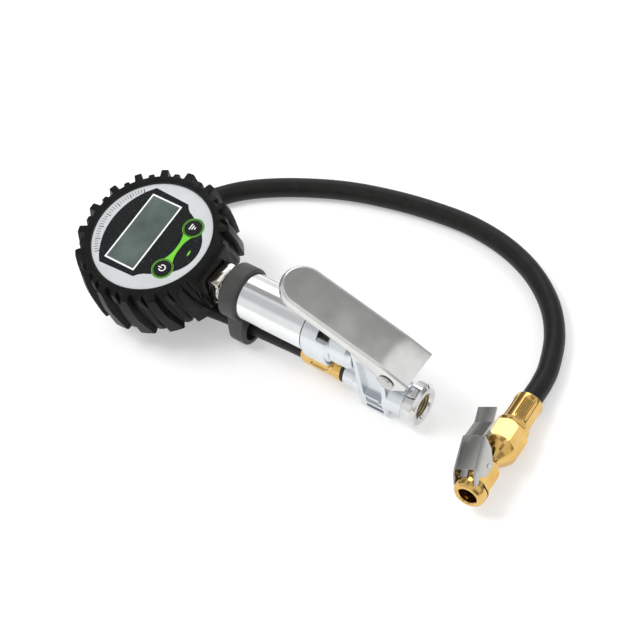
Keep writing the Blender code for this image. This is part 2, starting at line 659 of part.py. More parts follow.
def make_lever():
    """Pressed-steel lever: flat top, turned-down rim, two ears on the pivot."""
    lever = plate("trigger_lever", [lever_outline(LEVER_HALF, LEVER_LENGTH)], -LEVER_RIM, 0,
                  CHROME, LEVER)
    edge = lever.modifiers.new("edges", "BEVEL")
    edge.width = 1.2 * MM
    edge.segments = 2
    edge.limit_method = "ANGLE"
    edge.angle_limit = math.radians(60)
    pivot = lever_frame().inverted() @ (Vector((PIVOT_X, 0, PIVOT_Z)) * MM) / MM
    ear = [(0, -1.0), (0, -4.2), (pivot.x - 4.2, pivot.z - 5.4)]
    ear += arc((pivot.x, pivot.z), 7.2, 255, 350, 6) + [(30, -LEVER_RIM), (30, -1.0)]
    hollow = lever_outline(LEVER_HALF - LEVER_SHEET, LEVER_LENGTH - LEVER_SHEET, -10)
    join(lever, plate("lever_ears", [ear], -LEVER_HALF, LEVER_HALF, None, LEVER, CUTTERS, UPRIGHT))
    cut(lever, plate("lever_hollow", [hollow], -40, -LEVER_SHEET, None, LEVER, CUTTERS))
    cut(lever, rod("lever_bore", 2.3, -20, 20, (pivot.x, pivot.z), "Y", None, LEVER, CUTTERS, 20))


def make_pivot_pin():
    """Pin through both ears with a domed head at each end."""
    reach = LEVER_HALF + GAP
    half = [(0, 13.6), (2.4, 13.4), (4.2, 12.4), (4.2, reach), (2.0, reach)]
    pin = turned("pivot_pin", half + [(r, -z) for r, z in reversed(half)], STEEL, WORLD)
    place = Matrix.Translation(Vector((PIVOT_X, 0, PIVOT_Z)) * MM)
    pin.matrix_local = place @ Matrix.Rotation(math.pi / 2, 4, "X")


# ---- hose and its ends -------------------------------------------------------------
def make_hose():
    """Hose along its route, and the fitting that screws it into the block's port."""
    route = smooth_route(HOSE_ROUTE, HOSE_STEP)
    wire("hose", [tuple(point) for point in route], HOSE_R, RUBBER)
    turned("port_washer", [(3.0, WASHER_X + 0.8), (6.9, WASHER_X + 0.8), (6.9, WASHER_X - 0.6),
                           (3.0, WASHER_X - 0.6)], SEAL, LOWER, True)
    over_hose = HOSE_R + GAP
    collar = WASHER_X - 0.9
    turned("near_ferrule", [(over_hose, 30.0), (6.2, 30.0), (6.2, 30.8), (FERRULE_R, 31.4),
                            (FERRULE_R, 47.6), (6.2, 48.6), (7.0, 49.2), (7.0, collar),
                            (2.7, collar), (2.7, 61.5), (1.4, 61.5), (1.4, 45.0),
                            (over_hose, 45.0)], BRASS, LOWER, True)


def make_far_end():
    """Crimped ferrule on the hose and the chuck's hexagon."""
    over_hose = HOSE_R + GAP
    turned("far_ferrule", [(over_hose, 4.2), (6.5, 4.2), (7.0, 5.2), (7.0, 19.6), (6.2, 20.6),
                           (6.2, 21.4), (7.6, 22.2), (7.6, 23.8), (1.6, 23.8), (1.6, 15.2),
                           (over_hose, 15.2)], BRASS, CHUCK, True)
    hexagon = arc((0, 0), CHUCK_HEX / math.sqrt(3), 30, 330, 5)
    nut = plate("chuck_nut", [hexagon], 24.1, 35.0, BRASS, CHUCK)
    cut(nut, rod("nut_bore", 3.2, 10, 40, (0, 0), "Z", None, CHUCK, CUTTERS, 20))


def make_chuck():
    """Chuck body with its mouth, seal and valve depressor."""
    end = CHUCK_LENGTH
    body = turned("chuck_body", [(0, end), (6.6, end), (7.8, end - 1.6), (7.8, 61.0), (6.9, 58.6),
                                 (6.9, 47.5), (4.6, 44.0), (8.2, 41.0), (9.6, 37.4), (9.4, 35.3),
                                 (0, 35.3)], BRASS, CHUCK)
    mouth = [(0, end + 2), (5.6, end + 2), (4.35, end - 0.6), (4.35, 55.0), (1.6, 55.0),
             (1.6, 28), (0, 28)]
    cut(body, turned("chuck_mouth", mouth, None, CHUCK, group=CUTTERS, steps=20))
    flat = CLIP_HALF - CLIP_SHEET - GAP
    pin = (CHUCK_PIVOT_H, CHUCK_PIVOT_T)
    for side in (-1, 1):
        cut(body, box(f"chuck_flat_{side}", (8, 20, 22.5), (side * (flat + 4), 11.0, 54.8), None,
                      CHUCK, CUTTERS))
    cut(body, rod("chuck_pin_bore", 1.4, -12, 12, pin, "X", None, CHUCK, CUTTERS, 12))
    turned("chuck_seal", [(1.9, 59.8), (4.05, 59.8), (4.05, 56.5), (1.9, 56.5)], SEAL, CHUCK,
           True, steps=20)
    turned("chuck_depressor", [(0, 63.0), (0.8, 62.7), (0.8, 56.2), (3.8, 56.2), (3.8, 55.3),
                               (0, 55.3)], BRASS, CHUCK, steps=16)


def make_chuck_clip():
    """Clip of bent sheet on a cross pin: thumb tab, top panel, two sides, return spring."""
    top = 16.8 - CLIP_SHEET
    under_slope = 10.1 - CLIP_SHEET
    # (height, station) down the clip's side
    outer = [(19.8, 29.4), (16.6, 36.2), (16.8, 45.5), (10.1, 60.3), (4.9, 65.4), (3.0, 63.0),
             (2.8, 54.5), (3.2, 49.6), (9.5, 45.0), (top, 44.4), (16.6 - CLIP_SHEET, 36.4),
             (19.0, 29.1)]
    inner = [(top, 43.0), (top, 45.3), (under_slope, 60.0), (under_slope, 75.0), (-5, 75.0),
             (-5, 43.0)]
    half = CLIP_HALF - CLIP_SHEET
    pin = (CHUCK_PIVOT_H, CHUCK_PIVOT_T)
    clip = plate("chuck_clip", [outer], -CLIP_HALF, CLIP_HALF, STEEL, CHUCK, turn=SIDE_ON)
    cut(clip, plate("clip_inside", [inner], -half, half, None, CHUCK, CUTTERS, SIDE_ON))
    cut(clip, rod("clip_pin_hole", 1.4, -12, 12, pin, "X", None, CHUCK, CUTTERS, 12))
    rod("chuck_pin", 1.1, -CLIP_HALF - 0.4, CLIP_HALF + 0.4, pin, "X", STEEL, CHUCK, sides=16)
    coil = [(x, y, 38.2 + z) for x, y, z in coil_points(2.0, 10.3, 15.0, 4)]
    wire("chuck_spring", coil, 0.3, STEEL, CHUCK, resolution=1)


def run():
    make_boot()
    make_case()
    make_case_screws()
    make_face()
    make_buttons()
    make_head_inside()
    make_stem()
    make_tube()
    make_clip()
    make_block()
    make_valve()
    make_lever()
    make_pivot_pin()
    make_hose()
    make_far_end()
    make_chuck()
    make_chuck_clip()


run()
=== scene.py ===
"""Looks of a digital tyre inflator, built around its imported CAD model.

Lengths are in millimetres and are turned into metres with MM as meshes are made.  The frame
is the CAD model's: +X along the handle from the gauge to the air inlet, +Z up.
"""

import math

import bmesh
import bpy
from mathutils import Matrix, Vector, noise


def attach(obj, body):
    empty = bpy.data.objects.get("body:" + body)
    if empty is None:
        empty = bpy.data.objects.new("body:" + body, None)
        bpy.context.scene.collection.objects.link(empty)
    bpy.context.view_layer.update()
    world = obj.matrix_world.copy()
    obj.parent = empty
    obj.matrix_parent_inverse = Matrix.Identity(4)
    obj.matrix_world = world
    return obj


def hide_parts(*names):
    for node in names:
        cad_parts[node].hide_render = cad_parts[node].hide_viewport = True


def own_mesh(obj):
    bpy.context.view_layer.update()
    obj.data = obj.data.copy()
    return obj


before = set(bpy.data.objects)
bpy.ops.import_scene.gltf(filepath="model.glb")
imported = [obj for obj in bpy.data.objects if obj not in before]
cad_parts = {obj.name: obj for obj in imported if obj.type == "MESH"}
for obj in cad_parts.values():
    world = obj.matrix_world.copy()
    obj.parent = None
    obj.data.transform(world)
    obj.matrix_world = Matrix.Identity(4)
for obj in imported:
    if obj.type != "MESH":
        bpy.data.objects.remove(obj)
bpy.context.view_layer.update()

MM = 0.001
SHIFT = Vector((0.5, 0.1, 0.0))       # the tool's own figures to the model's origin

# ---- driving dimensions, mm, as in the CAD source ----
INLET_Z = 11.0
TUBE_Z = 33.2
INLET_X = 97.7
TUBE_R = 12.1
TUBE_START = -13.5
TUBE_END = 37.0
HEAD_X = -57.7
HEAD_LIFT = 14.8
HEAD_TILT = math.radians(8.2)
FACE_R = 31.3
LCD_W = 38.8
LCD_H = 15.9
LCD_UP = 5.4
BUTTON_X = 13.1
BUTTON_Y = -16.6
BUTTONS = [(-BUTTON_X, BUTTON_Y), (BUTTON_X, BUTTON_Y)]
BUTTON_R = 4.5
WELL_R = BUTTON_R + 0.25
RING_R = 5.75
TREAD_COUNT = 17
STEM_FLAT = 36.7
BOOT_BACK = -26.6
SQUARE = 15.4
CLIP_START = -10.4
CLIP_END = -0.9
CLIP_R = 13.4
NOTCH_X = 49.0
BLOCK_START = 64.5
BLOCK_END = 82.0
BLOCK_HALF = 8.6
PIVOT_X = 86.0
PIVOT_Z = 36.8
PLUNGER_X = 72.5
LEVER_ANGLE = math.radians(20.0)
LEVER_TOP_Z = 41.2
LEVER_LENGTH = 77.0
LEVER_HALF = 11.5
LEVER_SHEET = 1.3
LEVER_RIM = 5.2
END_RIM = 3.6             # the rim's depth at the inlet end
RIM_START = 31.0          # where the rim's even part starts, along the lever
EAR_R = 5.4
HOSE_R = 5.25
WASHER_X = 54.6
CHUCK_START = (137.2, 33.8, 7.2)
CHUCK_AZIMUTH = math.radians(3.7)
CHUCK_RISE = math.radians(6.0)
CHUCK_ROLL = math.radians(30.0)
CHUCK_LENGTH = 67.4
CHUCK_HEX = 17.0
CHUCK_SPRING_T = 38.2
CHUCK_PIVOT_T = 52.5
CHUCK_PIVOT_H = 5.0
CLIP_HALF = 6.4
CLIP_SHEET = 0.9
HOSE_ROUTE = [
    (44.0, 0.0, 11.0), (37.0, 0.0, 11.0), (27.0, 0.0, 10.9), (10.0, -0.3, 10.3),
    (-5.6, -0.6, 9.6), (-22.0, -0.9, 8.1), (-37.0, -1.3, 6.2), (-50.0, -0.3, 5.5),
    (-63.0, 4.6, 5.3), (-74.0, 13.0, 5.3), (-81.4, 24.6, 5.3), (-83.4, 38.0, 5.3),
    (-80.6, 51.0, 5.3), (-73.0, 63.4, 5.3), (-61.0, 75.4, 5.3), (-42.0, 87.6, 5.3),
    (-17.0, 99.0, 5.3), (8.0, 106.0, 5.3), (33.0, 110.0, 5.3), (57.0, 111.0, 5.3),
    (80.0, 107.0, 5.3), (100.0, 98.4, 5.3), (116.6, 85.4, 5.3), (127.8, 70.0, 5.3),
    (134.6, 52.6, 5.6), (136.6, 42.0, 6.3), (137.2, 33.8, 7.2), (138.1, 19.6, 8.7),
]


def put(name, data):
    """An object of some data, linked into the scene."""
    obj = bpy.data.objects.new(name, data)
    bpy.context.scene.collection.objects.link(obj)
    return obj


# ---- camera ----
CAMERA_ANGLES = (43.05, 51.8, 10.4)   # degrees: round from -Y towards +X, up, roll
CAMERA_TARGET = (37.5, 4.6, 33.7)
CAMERA_DISTANCE = 0.72                # metres
FOCAL_LENGTH = 84.98
SENSOR_WIDTH = 36.0
CLIP_NEAR = 0.02                      # metres


def make_camera():
    """Looks at the handle from the inlet's side, rolled a little clockwise."""
    azimuth, elevation, roll = (math.radians(angle) for angle in CAMERA_ANGLES)
    target = (Vector(CAMERA_TARGET) + SHIFT) * MM
    back = Vector((math.sin(azimuth) * math.cos(elevation),
                   -math.cos(azimuth) * math.cos(elevation), math.sin(elevation)))
    level = Vector((math.cos(azimuth), math.sin(azimuth), 0))
    upright = back.cross(level)
    right = level * math.cos(roll) - upright * math.sin(roll)
    up = back.cross(right)
    camera = put("camera", bpy.data.cameras.new("camera"))
    matrix = Matrix((right, up, back)).transposed().to_4x4()
    matrix.translation = target + back * CAMERA_DISTANCE
    camera.matrix_world = matrix
    camera.data.lens = FOCAL_LENGTH
    camera.data.sensor_width = SENSOR_WIDTH
    camera.data.clip_start = CLIP_NEAR
    bpy.context.scene.camera = camera


make_camera()


# ---- materials ----
def new_material(name, colour, roughness, metallic=0.0):
    """A plain material on which the noise is then laid."""
    material = bpy.data.materials.new(name)
    material.use_nodes = True
    shader = material.node_tree.nodes["Principled BSDF"]
    shader.inputs["Base Color"].default_value = (*colour, 1.0)
    shader.inputs["Roughness"].default_value = roughness
    shader.inputs["Metallic"].default_value = metallic
    return material


def add_node(material, kind, **settings):
    node = material.node_tree.nodes.new(kind)
    for key, value in settings.items():
        if key in node.inputs:
            node.inputs[key].default_value = value
        else:
            setattr(node, key, value)
    return node


def noise_field(material, size, stretch=(1, 1, 1), detail=3.0):
    """Noise whose features are about size millimetres, drawn out along an axis by stretch."""
    link = material.node_tree.links.new
    place = add_node(material, "ShaderNodeTexCoord")
    mapping = add_node(material, "ShaderNodeMapping")
    mapping.inputs["Scale"].default_value = [1 / s for s in stretch]
    texture = add_node(material, "ShaderNodeTexNoise", Scale=1 / (size * MM), Detail=detail)
    link(place.outputs["Object"], mapping.inputs["Vector"])
    link(mapping.outputs["Vector"], texture.inputs["Vector"])
    return texture.outputs["Fac"]


def spread(material, field, low, high, start=0.3, end=0.7):
    """A field's middle range mapped onto low to high."""
    ranges = {"From Min": start, "From Max": end, "To Min": low, "To Max": high}
    node = add_node(material, "ShaderNodeMapRange", **ranges)
    material.node_tree.links.new(field, node.inputs["Value"])
    return node.outputs["Result"]


def shader_input(material, name):
    return material.node_tree.nodes["Principled BSDF"].inputs[name]


def vary_roughness(material, field, middle, share):
    """Roughness that wanders by a share to either side of its middle."""
    wander = spread(material, field, middle * (1 - share), min(1.0, middle * (1 + share)))
    material.node_tree.links.new(wander, shader_input(material, "Roughness"))


def colour_mix(tree):
    """A mix node of colours: its factor, its two colours and its result."""
    mix = tree.nodes.new("ShaderNodeMix")
    mix.data_type = "RGBA"
    first, second = [socket for socket in mix.inputs if socket.type == "RGBA"]
    result = [socket for socket in mix.outputs if socket.type == "RGBA"][0]
    return mix.inputs["Factor"], first, second, result


def vary_colour(material, field, dark, light, start=0.3, end=0.7):
    """Base colour that wanders between two colours."""
    factor, first, second, result = colour_mix(material.node_tree)
    first.default_value = (*dark, 1.0)
    second.default_value = (*light, 1.0)
    link = material.node_tree.links.new
    link(spread(material, field, 0.0, 1.0, start, end), factor)
    link(result, shader_input(material, "Base Color"))


def emboss(material, field, depth):
    """Bump of a given depth in millimetres."""
    bump = add_node(material, "ShaderNodeBump", Strength=1.0)
    bump.inputs["Distance"].default_value = depth * MM
    link = material.node_tree.links.new
    link(field, bump.inputs["Height"])
    link(bump.outputs["Normal"], shader_input(material, "Normal"))


def metal(name, colour, dull, roughness, grain=0.35, depth=0.0, stretch=(1, 1, 1), vary=0.15):
    """Metal with cloudy colour and roughness, and a fine grain if it has a depth."""
    material = new_material(name, colour, roughness, 1.0)
    vary_colour(material, noise_field(material, 9.0), colour, dull)
    fine = noise_field(material, grain, stretch)
    vary_roughness(material, fine, roughness, vary)
    if depth:
        emboss(material, fine, depth)
    return material


def moulded(name, colour, light, roughness, grain=0.3, depth=0.012, patch=5.0, shine=0.5):
    """Rubber or plastic: fine pitted grain, with patches a little lighter than the rest."""
    material = new_material(name, colour, roughness)
    vary_colour(material, noise_field(material, patch), colour, light)
    fine = noise_field(material, grain)
    vary_roughness(material, fine, roughness, 0.15)
    emboss(material, fine, depth)
    shader_input(material, "Specular IOR Level").default_value = shine
    return material


CHROME = metal("chrome_plate", (0.86, 0.865, 0.87), (0.80, 0.81, 0.82), 0.13)
CASTING = metal("satin_casting", (0.73, 0.76, 0.79), (0.69, 0.72, 0.75), 0.26, 0.3, vary=0.05)
INLET_CHROME = metal("inlet_plate", (0.80, 0.80, 0.80), (0.60, 0.60, 0.60), 0.10, 0.6, 0.012)
LEVER_STEEL = metal("lever_steel", (0.74, 0.74, 0.72), (0.66, 0.66, 0.645), 0.16, 0.25,
                    stretch=(14, 1, 1))
emboss(LEVER_STEEL, noise_field(LEVER_STEEL, 26.0, detail=1.0), 0.5)   # pressed sheet, not flat
STEEL = metal("bright_steel", (0.62, 0.62, 0.61), (0.5, 0.5, 0.49), 0.22, 0.4)
SHEET_STEEL = metal("sheet_steel", (0.52, 0.515, 0.50), (0.44, 0.435, 0.42), 0.2, 0.25, 0.0006,
                    (1, 8, 1))
NICKEL = metal("nickel_fitting", (0.74, 0.72, 0.65), (0.45, 0.42, 0.33), 0.13, 0.8, 0.006)
BRASS = metal("bright_brass", (0.76, 0.51, 0.185), (0.66, 0.41, 0.12), 0.12, 0.5, 0.002)
THREAD_BRASS = metal("thread_brass", (0.36, 0.30, 0.17), (0.22, 0.18, 0.10), 0.3, 0.5)
RUBBER = moulded("boot_rubber", (0.004, 0.0042, 0.0038), (0.007, 0.0073, 0.0066), 0.36, 0.35,
                 0.015, shine=0.14)
HOSE_RUBBER = moulded("hose_rubber", (0.009, 0.009, 0.0085), (0.014, 0.014, 0.013), 0.42, 0.25,
                      0.01, shine=0.19)
CLIP_GREY = moulded("clip_plastic", (0.036, 0.036, 0.036), (0.048, 0.048, 0.046), 0.42, 0.4,
                    shine=0.35)
PLASTIC = moulded("case_plastic", (0.016, 0.017, 0.018), (0.022, 0.023, 0.024), 0.4, 0.3, 0.01)
SEAL = moulded("seal_rubber", (0.012, 0.012, 0.012), (0.02, 0.02, 0.02), 0.6)
TAPE = moulded("thread_tape", (0.84, 0.83, 0.80), (0.66, 0.64, 0.58), 0.35, 0.5, 0.1, 1.2)
BOARD = moulded("circuit_board", (0.02, 0.12, 0.04), (0.03, 0.2, 0.07), 0.4, 0.5)
CELL = metal("cell_sleeve", (0.2, 0.28, 0.5), (0.15, 0.2, 0.4), 0.3)


def printed(name, colour, light, roughness=0.3, coat=0.4, size=3.0, start=0.3, end=0.7, shine=0.5):
    """Smooth print or plastic under a thin clear coat."""
    material = new_material(name, colour, roughness)
    vary_colour(material, noise_field(material, size), colour, light, start, end)
    shader_input(material, "Coat Weight").default_value = coat
    shader_input(material, "Coat Roughness").default_value = 0.06
    shader_input(material, "Specular IOR Level").default_value = shine
    return material


FACE_SILVER = metal("face_silver", (0.60, 0.62, 0.63), (0.55, 0.57, 0.58), 0.42, 0.15, 0.002)
shader_input(FACE_SILVER, "Metallic").default_value = 0.35
PANEL = printed("panel_black", (0.0035, 0.004, 0.0045), (0.15, 0.17, 0.165), 0.3, 0.25, 0.4,
                0.64, 0.74, shine=0.2)
SCREEN = printed("screen_grey", (0.033, 0.051, 0.044), (0.082, 0.109, 0.098), 0.35, 0.3, 14.0)
WHITE_PRINT = printed("white_print", (0.78, 0.79, 0.80), (0.74, 0.75, 0.76))
GREEN_PRINT = printed("green_print", (0.115, 0.47, 0.015), (0.15, 0.53, 0.03))
OLIVE_PRINT = printed("olive_print", (0.010, 0.024, 0.005), (0.016, 0.036, 0.008))
DARK_PRINT = printed("dark_print", (0.05, 0.05, 0.05), (0.07, 0.07, 0.07))
KEY_BLACK = printed("key_black", (0.006, 0.006, 0.007), (0.01, 0.01, 0.011), 0.35, 0.12,
                    shine=0.2)


# ---- frames ----
def frame_at(x_axis, y_axis, z_axis, at):
    matrix = Matrix((x_axis, y_axis, z_axis)).transposed().to_4x4()
    matrix.translation = (Vector(at) + SHIFT) * MM
    return matrix


def head_frame():
    """X across the face, Y up the face away from the handle, Z out of the face."""
    across = Vector((0, math.cos(HEAD_TILT), math.sin(HEAD_TILT)))
    normal = Vector((0, -math.sin(HEAD_TILT), math.cos(HEAD_TILT)))
    centre = Vector((HEAD_X, 0, TUBE_Z)) + normal * HEAD_LIFT
    return frame_at(across, Vector((-1, 0, 0)), normal, centre)


def lever_frame():
    """X up the lever towards the gauge, Y across it, Z out of its top face."""
    along = Vector((-math.cos(LEVER_ANGLE), 0, math.sin(LEVER_ANGLE)))
    normal = Vector((math.sin(LEVER_ANGLE), 0, math.cos(LEVER_ANGLE)))
    return frame_at(along, normal.cross(along), normal, (INLET_X, 0, LEVER_TOP_Z))


def chuck_frame():
    """Z along the chuck from the hose to the mouth, Y on the side of its clip."""
    flat = math.cos(CHUCK_RISE)
    axis = Vector((math.sin(CHUCK_AZIMUTH) * flat, -math.cos(CHUCK_AZIMUTH) * flat,
                   math.sin(CHUCK_RISE)))
    side = axis.cross(Vector((0, 0, 1))).normalized()
    up = side.cross(axis)
    clip_side = up * math.cos(CHUCK_ROLL) + side * math.sin(CHUCK_ROLL)
    return frame_at(clip_side.cross(axis), clip_side, axis, CHUCK_START)


def turned(base, place, angle, axis):
    """A frame moved in mm and turned in degrees within another."""
    move = Matrix.Translation(Vector(place) * MM)
    return base @ move @ Matrix.Rotation(math.radians(angle), 4, axis)


def axis_frame(height):
    """Z along the handle at a height above the table, X down, Y across."""
    return frame_at(Vector((0, 0, -1)), Vector((0, 1, 0)), Vector((1, 0, 0)), (0, 0, height))


HEAD = head_frame()
LEVER = lever_frame()
CHUCK = chuck_frame()
UPPER = axis_frame(TUBE_Z)
LOWER = axis_frame(INLET_Z)
WORLD = frame_at(Vector((1, 0, 0)), Vector((0, 1, 0)), Vector((0, 0, 1)), (0, 0, 0))
UPRIGHT = WORLD @ Matrix.Rotation(math.pi / 2, 4, "X")      # outlines drawn as (X, Z)
SIDE_ON = Matrix(((0, 0, 1, 0), (1, 0, 0, 0), (0, 1, 0, 0), (0, 0, 0, 1)))   # as (Y, Z)


# ---- mesh helpers, in mm ----
TINY = 1e-6
NEARLY_STRAIGHT = math.radians(172)
SAME_POINT = 0.002


def show(name, mesh, material, body="handle", nodes=(), angle=35):
    """Make a mesh a piece of the model: its material, its body, the CAD nodes it stands for."""
    obj = put(name, mesh)
    mesh.materials.clear()
    mesh.materials.append(material)
    mesh.shade_smooth()
    mesh.set_sharp_from_angle(angle=math.radians(angle))
    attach(obj, body)
    if nodes:
        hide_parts(*nodes)
    return obj


def to_mesh(bm, matrix):
    """The finished mesh of a bmesh made in mm in a frame."""
    bmesh.ops.recalc_face_normals(bm, faces=bm.faces)
    bmesh.ops.transform(bm, matrix=matrix @ Matrix.Scale(MM, 4), verts=bm.verts)
    mesh = bpy.data.meshes.new("mesh")
    bm.to_mesh(mesh)
    bm.free()
    return mesh


def fillet(points, radius, closed=False, count=6):
    """Round the corners of a line of 2-D points."""
    result = []
    total = len(points)
    for index, point in enumerate(points):
        here = Vector(point)
        if not closed and index in (0, total - 1):
            result.append(here)
            continue
        before = Vector(points[index - 1]) - here
        after = Vector(points[(index + 1) % total]) - here
        if before.length < TINY or after.length < TINY:
            continue
        turn = before.angle(after)
        if turn > NEARLY_STRAIGHT:
            result.append(here)
            continue
        reach = min(radius / math.tan(turn / 2), before.length * 0.45, after.length * 0.45)
        start = here + before.normalized() * reach
        end = here + after.normalized() * reach
        for step in range(count + 1):
            t = step / count
            result.append(start * (1 - t) ** 2 + here * 2 * t * (1 - t) + end * t * t)
    return [tuple(point) for point in result]


def lathe(profile, matrix, steps=96, closed=False, soft=0.25, at=(0, 0), shape=None):
    """Turn a profile of (radius, station) points about Z; shape may move each point."""
    line = fillet(profile, soft, closed) if soft else profile
    bm = bmesh.new()
    rings = []
    for radius, station in line:
        if radius < TINY:
            rings.append([bm.verts.new((at[0], at[1], station))] * steps)
            continue
        ring = []
        for index in range(steps):
            angle = math.tau * index / steps
            r, z = shape(angle, radius, station) if shape else (radius, station)
            ring.append(bm.verts.new((at[0] + r * math.cos(angle), at[1] + r * math.sin(angle), z)))
        rings.append(ring)
    pairs = list(zip(rings, rings[1:]))
    if closed:
        pairs.append((rings[-1], rings[0]))
    for low, high in pairs:
        for index in range(steps):
            following = (index + 1) % steps
            corners = []
            for vert in (low[index], low[following], high[following], high[index]):
                if vert not in corners:
                    corners.append(vert)
            if len(corners) > 2:
                bm.faces.new(corners)
    return to_mesh(bm, matrix)


def drum(radius, start, end, matrix, steps=64, **more):
    """A plain cylinder about Z."""
    return lathe([(0, start), (radius, start), (radius, end), (0, end)], matrix, steps, **more)


def arc(centre, radius, start, end, count):
    """Points of an arc, with its angles in degrees."""
    turns = [math.radians(start + (end - start) * k / count) for k in range(count + 1)]
    return [(centre[0] + radius * math.cos(a), centre[1] + radius * math.sin(a)) for a in turns]


def circle(centre, radius, count=48):
    """Points once round a circle."""
    return arc(centre, radius, 0, 360 - 360 / count, count - 1)


def rounded(width, height, radius, centre=(0, 0), count=6):
    """Outline of a rectangle with round corners."""
    points = []
    for sign_x, sign_y, start in ((1, 1, 0), (-1, 1, 90), (-1, -1, 180), (1, -1, 270)):
        corner = (centre[0] + sign_x * (width / 2 - radius),
                  centre[1] + sign_y * (height / 2 - radius))
        points += arc(corner, radius, start, start + 90, count)
    return points


def signed_area(outline):
    following = outline[1:] + outline[:1]
    return sum(x1 * y2 - x2 * y1 for (x1, y1), (x2, y2) in zip(outline, following)) / 2


def worked_out(obj, helpers=()):
    """The mesh that an object comes to, once it and its helpers are taken away."""
    graph = bpy.context.evaluated_depsgraph_get()
    mesh = bpy.data.meshes.new_from_object(obj.evaluated_get(graph))
    for spent in (obj, *helpers):
        bpy.data.objects.remove(spent, do_unlink=True)
    return mesh


def slab(outlines, start, end, matrix, edge=0.0):
    """A flat outline with holes between two stations of Z, its rims rounded by edge."""
    curve = bpy.data.curves.new("outline", "CURVE")
    curve.dimensions = "2D"
    curve.fill_mode = "BOTH"
    curve.extrude = (end - start) / 2 - edge
    curve.bevel_depth = edge
    curve.bevel_resolution = 2
    curve.offset = -edge
    for index, outline in enumerate(outlines):
        if (signed_area(outline) > 0) == (index > 0):
            outline = outline[::-1]
        spline = curve.splines.new("POLY")
        spline.points.add(len(outline) - 1)
        for point, (x, y) in zip(spline.points, outline):
            point.co = (x, y, 0, 1)
        spline.use_cyclic_u = True
    bm = bmesh.new()
    bm.from_mesh(worked_out(put("guide", curve)))
    bmesh.ops.remove_doubles(bm, verts=bm.verts, dist=SAME_POINT)
    bmesh.ops.translate(bm, vec=(0, 0, (start + end) / 2), verts=bm.verts)
    return to_mesh(bm, matrix)


def soften(bm, edge):
    """Round every edge of a solid."""
    if edge:
        bmesh.ops.bevel(bm, geom=bm.edges[:], offset=edge, segments=3, affect="EDGES", profile=0.5)


def block(size, centre, matrix, edge=0.0):
    """A box of a given size about a centre, with rounded edges."""
    bm = bmesh.new()
    bmesh.ops.create_cube(bm, size=1.0)
    bmesh.ops.scale(bm, vec=size, verts=bm.verts)
    bmesh.ops.translate(bm, vec=centre, verts=bm.verts)
    soften(bm, edge)
    return to_mesh(bm, matrix)


def hull(points, matrix, edge=0.0):
    """The convex solid around some points, with rounded edges."""
    bm = bmesh.new()
    verts = [bm.verts.new(point) for point in points]
    bmesh.ops.convex_hull(bm, input=verts)
    bmesh.ops.dissolve_limit(bm, angle_limit=math.radians(1), verts=bm.verts, edges=bm.edges)
    soften(bm, edge)
    return to_mesh(bm, matrix)


def combine(base, adds=(), cuts=(), keeps=()):
    """A closed mesh with others added, cut away, and then kept only where they are."""
    body = put("body", base)
    helpers = []
    for operation, meshes in (("UNION", adds), ("DIFFERENCE", cuts), ("INTERSECT", keeps)):
        for mesh in meshes:
            helpers.append(put("helper", mesh))
            step = body.modifiers.new(operation, "BOOLEAN")
            step.operation = operation
            step.solver = "EXACT"
            step.object = helpers[-1]
    return worked_out(body, helpers)


def merged(meshes):
    """Several closed meshes as one mesh."""
    bm = bmesh.new()
    for mesh in meshes:
        bm.from_mesh(mesh)
    mesh = bpy.data.meshes.new("merged")
    bm.to_mesh(mesh)
    bm.free()
    return mesh


def skin(bm, low, high, closed=True):
    """Faces between two rows of vertices, which may each close on themselves."""
    count = len(low)
    for k in range(count if closed else count - 1):
        following = (k + 1) % count
        bm.faces.new((low[k], low[following], high[following], high[k]))


def tube(points, radius, matrix, sides=10):
    """A round wire along a line of points."""
    path = [Vector(point) for point in points]
    bm = bmesh.new()
    across = None
    rings = []
    for index, point in enumerate(path):
        ahead = path[min(index + 1, len(path) - 1)] - path[max(index - 1, 0)]
        ahead.normalize()
        if across is None:
            across = ahead.orthogonal().normalized()
        across = (across - ahead * across.dot(ahead)).normalized()
        other = ahead.cross(across)
        rings.append([bm.verts.new(point + (across * math.cos(a) + other * math.sin(a)) * radius)
                      for a in (math.tau * k / sides for k in range(sides))])
    for low, high in zip(rings, rings[1:]):
        skin(bm, low, high)
    bm.faces.new(rings[0][::-1])
    bm.faces.new(rings[-1])
    return to_mesh(bm, matrix)


def smooth_route(points, step):
    """Points every step of length along a Catmull-Rom curve through the route's points."""
    route = [Vector(point) for point in points]
    fine = []
    for index in range(len(route) - 1):
        before = route[max(index - 1, 0)]
        start, end = route[index], route[index + 1]
        after = route[min(index + 2, len(route) - 1)]
        for part in range(20):
            t = part / 20
            bend = 2 * before - 5 * start + 4 * end - after
            twist = 3 * start - before - 3 * end + after
            fine.append(0.5 * (2 * start + (end - before) * t + bend * t * t + twist * t ** 3))
    fine.append(route[-1])
    total = sum((second - first).length for first, second in zip(fine, fine[1:]))
    count = round(total / step)
    spaced = [fine[0]]
    travelled = 0.0
    for first, second in zip(fine, fine[1:]):
        travelled += (second - first).length
        if travelled >= total * len(spaced) / count - TINY:
            spaced.append(second)
    return spaced


# ---- hose ----
def make_hose():
    """Rubber hose along its route, a curve whose own line is its centre line."""
    curve = bpy.data.curves.new("hose_line", "CURVE")
    curve.dimensions = "3D"
    curve.bevel_depth = HOSE_R * MM
    curve.bevel_resolution = 10
    curve.use_fill_caps = True
    route = smooth_route(HOSE_ROUTE, 3.0)
    spline = curve.splines.new("POLY")
    spline.points.add(len(route) - 1)
    for point, place in zip(spline.points, route):
        point.co = (*((place + SHIFT) * MM), 1)
    spline.use_smooth = True
    curve.materials.append(HOSE_RUBBER)
    hose = put("hose_tube", curve)
    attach(hose, "handle")
    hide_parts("hose")
    return hose


